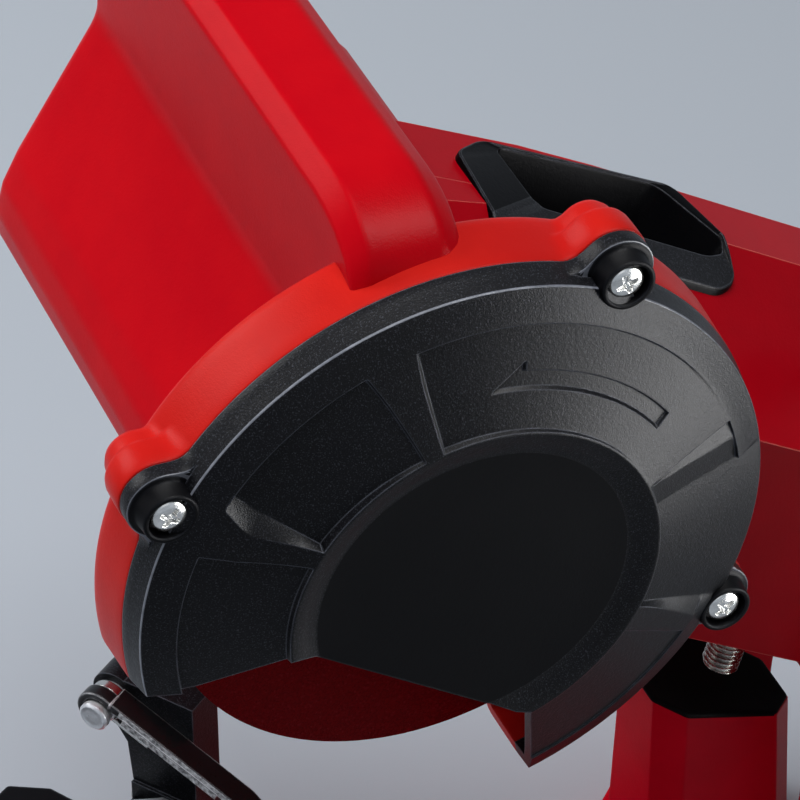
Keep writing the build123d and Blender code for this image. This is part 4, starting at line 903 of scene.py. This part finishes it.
# Loops from under the shaft up its outside and down into the tray: an outline and what it stands on, and how
# far each loop is set in and lifted
trayLoops = (
    ("shaft", "floor", ((3, -2.5), (0, -2.5))),
    ("shaft", "top", ((0, -3.2),)),
    ("plan", "top", ((0, -1.6), (0, 1.1), (0.12, 1.42), (0.4, 1.6), (0.7, 1.55))),
    ("mouth", "top", ((-0.3, 1.05), (-0.1, 0.9), (0.05, 0.5))),
    ("foot", "floor", ((-0.2, 1), (0.1, 0.3), (0.7, 0))),
)
armTop = {"high": 50.0, "seamX": -61.0, "fall": 20.0, "wide": 40.8, "kneeU": 45.0, "slope": 0.08246}
rocker = {"x": -63.5, "u": 36.0, "lean": -13.22, "hole": ((-6.5, 6.5), (-10.5, 10.5), (-15.0, 15.0))}
marks = {
    "tilt": -9.0, "low": 2.8, "slope": 2.2 / 9.7, "bar": ((-0.35, 0.35), (-7.4, -3.4), (-0.1, 0.12)),
    "ringAt": 5.4, "ringR": 2.0, "ringWide": 0.42, "ringTall": 0.14,
}


# Height of the arm's top: flat on the left, falling to the right of the seam and towards the motor
def armTopAt(x, u):
    high, seamX = armTop["high"], armTop["seamX"]
    across = np.where(x > seamX, high - (x - seamX) * armTop["fall"] / armTop["wide"], high)
    return np.minimum(across, high - np.maximum(0.0, armTop["kneeU"] - u) * armTop["slope"])


def wellFloorAt(u):
    return well["floorAtFront"] - well["floorFall"] * u


# Points beside the rocker's axis, leaning with the tray's floor and with the rocker
def rockerToWorld(x, along, up, tilt=0.0):
    c, s = polar(1, rocker["lean"] + tilt)
    u = rocker["u"] + along * c - up * s
    w = wellFloorAt(rocker["u"]) + along * s + up * c
    return headToWorld(rocker["x"] + x, u, w)


# A box given by its spans in a local frame
def boxMesh(name, place, spans):
    x, y, z = spans
    corners = np.array([[(x[i], y[j], z[k]) for j, i in ((0, 0), (0, 1), (1, 1), (1, 0))] for k in (0, 1)])
    return buildMesh(name, place(*np.moveaxis(corners, -1, 0)), "capped")


# A funnel-like tray through the loops, with the rocker's hole; a darker black inside than on the near
# lip's upward faces paints shade in the well and light on the lip
def makeSwitchHousing():
    rows = []
    for outline, base, loops in trayLoops:
        for distance, lift in loops:
            radius = max(well["round"] - 0.5 * abs(distance), well["tightest"])
            x, u = roundCorners(insetCorners(well[outline], distance), radius, 6).T
            rows.append(joinAxes(x, u, (armTopAt(x, u) if base == "top" else wellFloorAt(u)) + lift))
    whole = buildMesh("switchWhole", headToWorld(*np.moveaxis(np.stack(rows), -1, 0)), "capped", 30.0)
    mesh = cutAway("switchHousing", whole, boxMesh("rockerHole", rockerToWorld, rocker["hole"]), 30.0)
    newPiece(mesh, "trayShadeBlack", "head", "black_moulding", "switch_housing")
    # The near lip's upward faces take the cover's lighter black, the rest the tray's darker one: painted
    # light on the lip and painted shade in the well
    across = (faceValues(mesh, "center")[:, 0] - headFrame["origin"][0]) / mm
    upward = faceValues(mesh, "normal") @ (headToWorld(0, 0, 1) - headToWorld(0, 0, 0)) / mm
    finishFaces(mesh, ("blackMoulding",), (across > well["nearLipX"]) & (upward > 0.6))


# A bar and a ring, just proud of the rocker's two ends
def makeRockerMarks():
    def place(x, along, up):
        return rockerToWorld(x, along, marks["low"] + np.abs(along) * marks["slope"] + up, marks["tilt"])

    big, small = fullTurn(40)[:, None], fullTurn(4) + np.pi / 4
    r = marks["ringR"] + marks["ringWide"] * np.cos(small)
    ring = place(r * np.cos(big), marks["ringAt"] + r * np.sin(big), marks["ringTall"] * np.sin(small))
    parts = (buildMesh("ringMark", ring, "joined"), boxMesh("barMark", place, marks["bar"]))
    newPiece(joinedMesh("rockerMarks", parts), "whitePlate", "rocker", "white_scale")


depthScrew = {
    "x": -36.0, "u": 113.6, "w": -32.7, "lean": 16.0, "long": 92.0, "radius": 4.0, "pitch": 1.25,
    "deep": 0.72, "tip": 0.9, "tipSlope": 1.1,
}


# A thread: the radius follows a rounded saw-tooth of the height less the turn, and closes to a chamfered tip
def makeDepthScrew():
    look, long = depthScrew, depthScrew["long"]
    turn = fullTurn(40)
    height = np.concatenate(([0.0, 0.0], np.arange(0.0, long, look["pitch"] / 9), [long, long]))[:, None]
    phase = np.abs(((height / look["pitch"] - turn / (2 * np.pi)) % 1.0) * 2 - 1)
    r = look["radius"] - look["deep"] * np.clip(phase * 1.25 - 0.12, 0, 1)
    r = np.minimum(r, look["radius"] - look["tip"] + height * look["tipSlope"])
    r[0], r[-1] = 0.0, 0.0
    c, s = polar(1, look["lean"])
    y = r * np.sin(turn)
    world = headToWorld(
        look["x"] + r * np.cos(turn), look["u"] + y * c - height * s, look["w"] + y * s + height * c,
    )
    mesh = buildMesh("depthScrew", world, "open", 28.0)
    newPiece(mesh, "threadSteel", "depth_stop", "bright_steel", "depth_screw")


viseFrame = {"x": 26.6, "y": -38.6, "turn": 35.0}
# The chain stop: its pin's place, its blade's slope and sizes, and how far it curls round the pin
pawl = {
    "pin": (-58.0, 1.8, 114.1), "slope": 23.0, "near": 2.6, "wide": 5.5, "thick": 2.0,
    "reach": 48.0, "hook": 13.0, "tipShift": 5.2, "outerR": 5.0, "boreR": 3.45, "knuckleWide": 3.2,
    "curl": 150, "lap": 0.04, "flange": 1.8, "flangeSpan": (5.5, 30.0), "flangeDrop": 1.4, "rounded": 0.35,
    "raspFrom": 5.6,
}
# The pin from its dished near face to its far end: radius, and distance back
pinProfile = (
    (0, -0.95), (1.5, -1), (2.5, -0.95), (2.75, -1.05), (3, -0.9), (3.3, -0.6), (3.3, 0.55), (3, 0.6),
    (3, 2.2), (3.25, 2.3), (3.25, 8.6), (2.9, 8.9), (0, 8.9),
)


# Points along and across the chain, in millimetres from the swivel's axis on the floor
def viseToWorld(s, t, z):
    c, k = polar(1, viseFrame["turn"])
    return joinAxes(viseFrame["x"] + s * c - t * k, viseFrame["y"] + s * k + t * c, z) * mm


# Points of the pawl: a along the blade and b up from the pin, turned down by the blade's slope
def pawlToWorld(a, t, b):
    c, k = polar(1, pawl["slope"])
    return viseToWorld(pawl["pin"][0] + a * c + b * k, t, pawl["pin"][2] - a * k + b * c)


# A strip carried along a path of (a, b) points in the blade's plane; bend shifts it across as it goes
def pawlStrip(name, path, low, high, thick, bend=0.0):
    ahead = np.gradient(path, axis=0)
    ahead /= lengthOf(ahead)
    across, up = roundCorners(((low, -thick), (high, -thick), (high, 0.0), (low, 0.0)), pawl["rounded"], 3).T
    a, b = path[:, :1] - ahead[:, 1:] * up, path[:, 1:] + ahead[:, :1] * up
    return buildMesh(name, pawlToWorld(a, across + np.reshape(bend, (-1, 1)), b), "capped", 40.0)


# A steel finger: the strip wraps most of the way round the pin, runs straight, then its tip turns across
def makePawl():
    look, near = pawl, pawl["near"]
    outerR, hookFrom = look["outerR"], look["reach"] - look["hook"]
    curlR = outerR - look["lap"]
    turn = np.radians(np.linspace(-look["curl"], 0, 26))
    curl = np.concatenate((curlR * np.stack((np.sin(turn), np.cos(turn)), -1), [(1.7, curlR)]))
    along = np.concatenate((np.linspace(1.5, hookFrom, 14), np.linspace(hookFrom, look["reach"], 10)[1:]))
    along = np.append(along, look["reach"] + 0.6)
    bend = np.concatenate((np.zeros(14), -np.linspace(0, 1, 11)[1:] ** 1.3 * look["tipShift"]))
    blade = np.stack((along, np.full(along.shape, outerR)), -1)
    under = np.linspace(*look["flangeSpan"], 10)
    under = np.stack((under, np.full(10, outerR - look["flangeDrop"])), -1)
    mesh = joinedMesh("stopPawl", (
        pawlStrip("pawlRing", curl, near, near + look["knuckleWide"], outerR - look["boreR"]),
        pawlStrip("pawlBlade", blade, near, near + look["wide"], look["thick"], bend),
        pawlStrip("pawlFlange", under, near - 0.25, near + 0.7, look["flange"]),
    ))
    newPiece(mesh, "blackSteel", "pawl", "dark_chrome", "stop_pawl")
    towards = (viseToWorld(0, -1, 0) - viseToWorld(0, 0, 0)) / mm
    away = lengthOf(faceValues(mesh, "center") - viseToWorld(look["pin"][0], near, look["pin"][2]))[:, 0] / mm
    finishFaces(mesh, ("rasped",), (faceValues(mesh, "normal") @ towards > 0.8) & (away > look["raspFrom"]))


# The pin: a shaft, and at the near end a turned head with a groove and a shallow dished face
def makePin():
    s, t, z = pawl["pin"]
    radius, back = np.array(pinProfile).T[:, :, None]
    a = fullTurn(64)
    points = viseToWorld(s + radius * np.cos(a), t + back, z + radius * np.sin(a))
    mesh = buildMesh("stopPin", points, "open", 30.0)
    newPiece(mesh, "turnedSteel", "stop_carriage", "bright_steel", "stop_pin")


# A black cap on the column's top: a dark piece put where the column's top lies in shadow, painted shade
shadowPad = {
    "outline": (
        (-10.5, 44.0), (4.5, 44.0), (10.0, 49.5), (10.0, 70.5), (4.5, 76.0), (-7.0, 76.0), (-16.0, 67.0),
        (-16.0, 49.5),
    ),
    "loops": (
        (0.4, -1.0), (-0.42, -1.0), (-0.42, -0.25), (-0.2, 0.0), (0.3, 0.06), (1.2, 0.0), (2.0, -0.25),
        (9.0, -0.3),
    ),
    "frontZ": 97.35, "frontY": 44.6, "slope": 0.364, "round": 0.8,
}


# A black cap over the column's sloping top, standing in for the shadow there: painted shade. Loops of its
# outline, grown or set in, at heights from the slope
def makeShadowPad(look):
    rows = []
    for distance, lift in look["loops"]:
        x, y = roundCorners(insetCorners(look["outline"], distance), look["round"], 3).T
        rows.append(joinAxes(x, y, look["frontZ"] - look["slope"] * (y - look["frontY"]) + lift) * mm)
    mesh = buildMesh("shadowPad", np.stack(rows), "capped", 30.0)
    newPiece(mesh, "padShadeBlack", "base", "black_rubber", "stop_pad")


makeCover()
makeLugBarrels()
makeCoverScrews()
makeShell()
print("guard built")
makeHousing()
print("housing built")
makeSwitchHousing()
makeRockerMarks()
makeDepthScrew()
print("arm fitted")
makePawl()
makePin()
makeShadowPad(shadowPad)
print("chain stop built")

floorLook = {"half": 2.5, "colour": (184, 192, 202), "fadeFrom": 0.55, "fadeTo": 1.25}
skyLook = {"colour": (176, 184, 194), "light": 0.045}


# A pale sheet. Far from the middle it clears, so that it runs into the sky's like colour
def layFloor(look):
    mesh = bpy.data.meshes.new("floor")
    h = look["half"]
    mesh.from_pydata([(-h, -h, 0), (h, -h, 0), (h, h, 0), (-h, h, 0)], [], [(0, 1, 2, 3)])
    floor = bpy.data.objects.new("floor", mesh)
    scene.collection.objects.link(floor)
    material, tree, shader = newMaterial("floorPaper")
    setSockets(tree, shader, {"Base Color": rgb(look["colour"]), "Roughness": 0.9, "Specular IOR Level": 0.1})
    away = addNode(tree, "VectorMath", {0: objectPlace(tree)}, operation="LENGTH")["Value"]
    fade = ranged(tree, away, look["fadeFrom"], look["fadeTo"], interpolation_type="SMOOTHSTEP")
    clear = addNode(tree, "BsdfTransparent")[0]
    both = addNode(tree, "MixShader", {0: fade, 1: shader.outputs[0], 2: clear})[0]
    setSockets(tree, tree.nodes["Material Output"], {"Surface": both})
    mesh.materials.append(material)


# The sky shows at full strength to the camera and in reflections, and lights the object only faintly
def hangSky(look):
    scene.world = bpy.data.worlds.new("studio")
    scene.world.use_nodes = True
    tree = scene.world.node_tree
    path = addNode(tree, "LightPath")
    seen = arithmetic(tree, "MAXIMUM", path["Is Camera Ray"], path["Is Glossy Ray"])
    seen = arithmetic(tree, "MAXIMUM", seen, path["Is Transmission Ray"])
    strength = ranged(tree, seen, 0.0, 1.0, look["light"])
    setSockets(tree, tree.nodes["Background"], {"Color": rgb(look["colour"]), "Strength": strength})


aimCamera(cameraLook)
hangLamps()
layFloor(floorLook)
hangSky(skyLook)
scene.view_settings.view_transform = "Standard"
print("stage set")
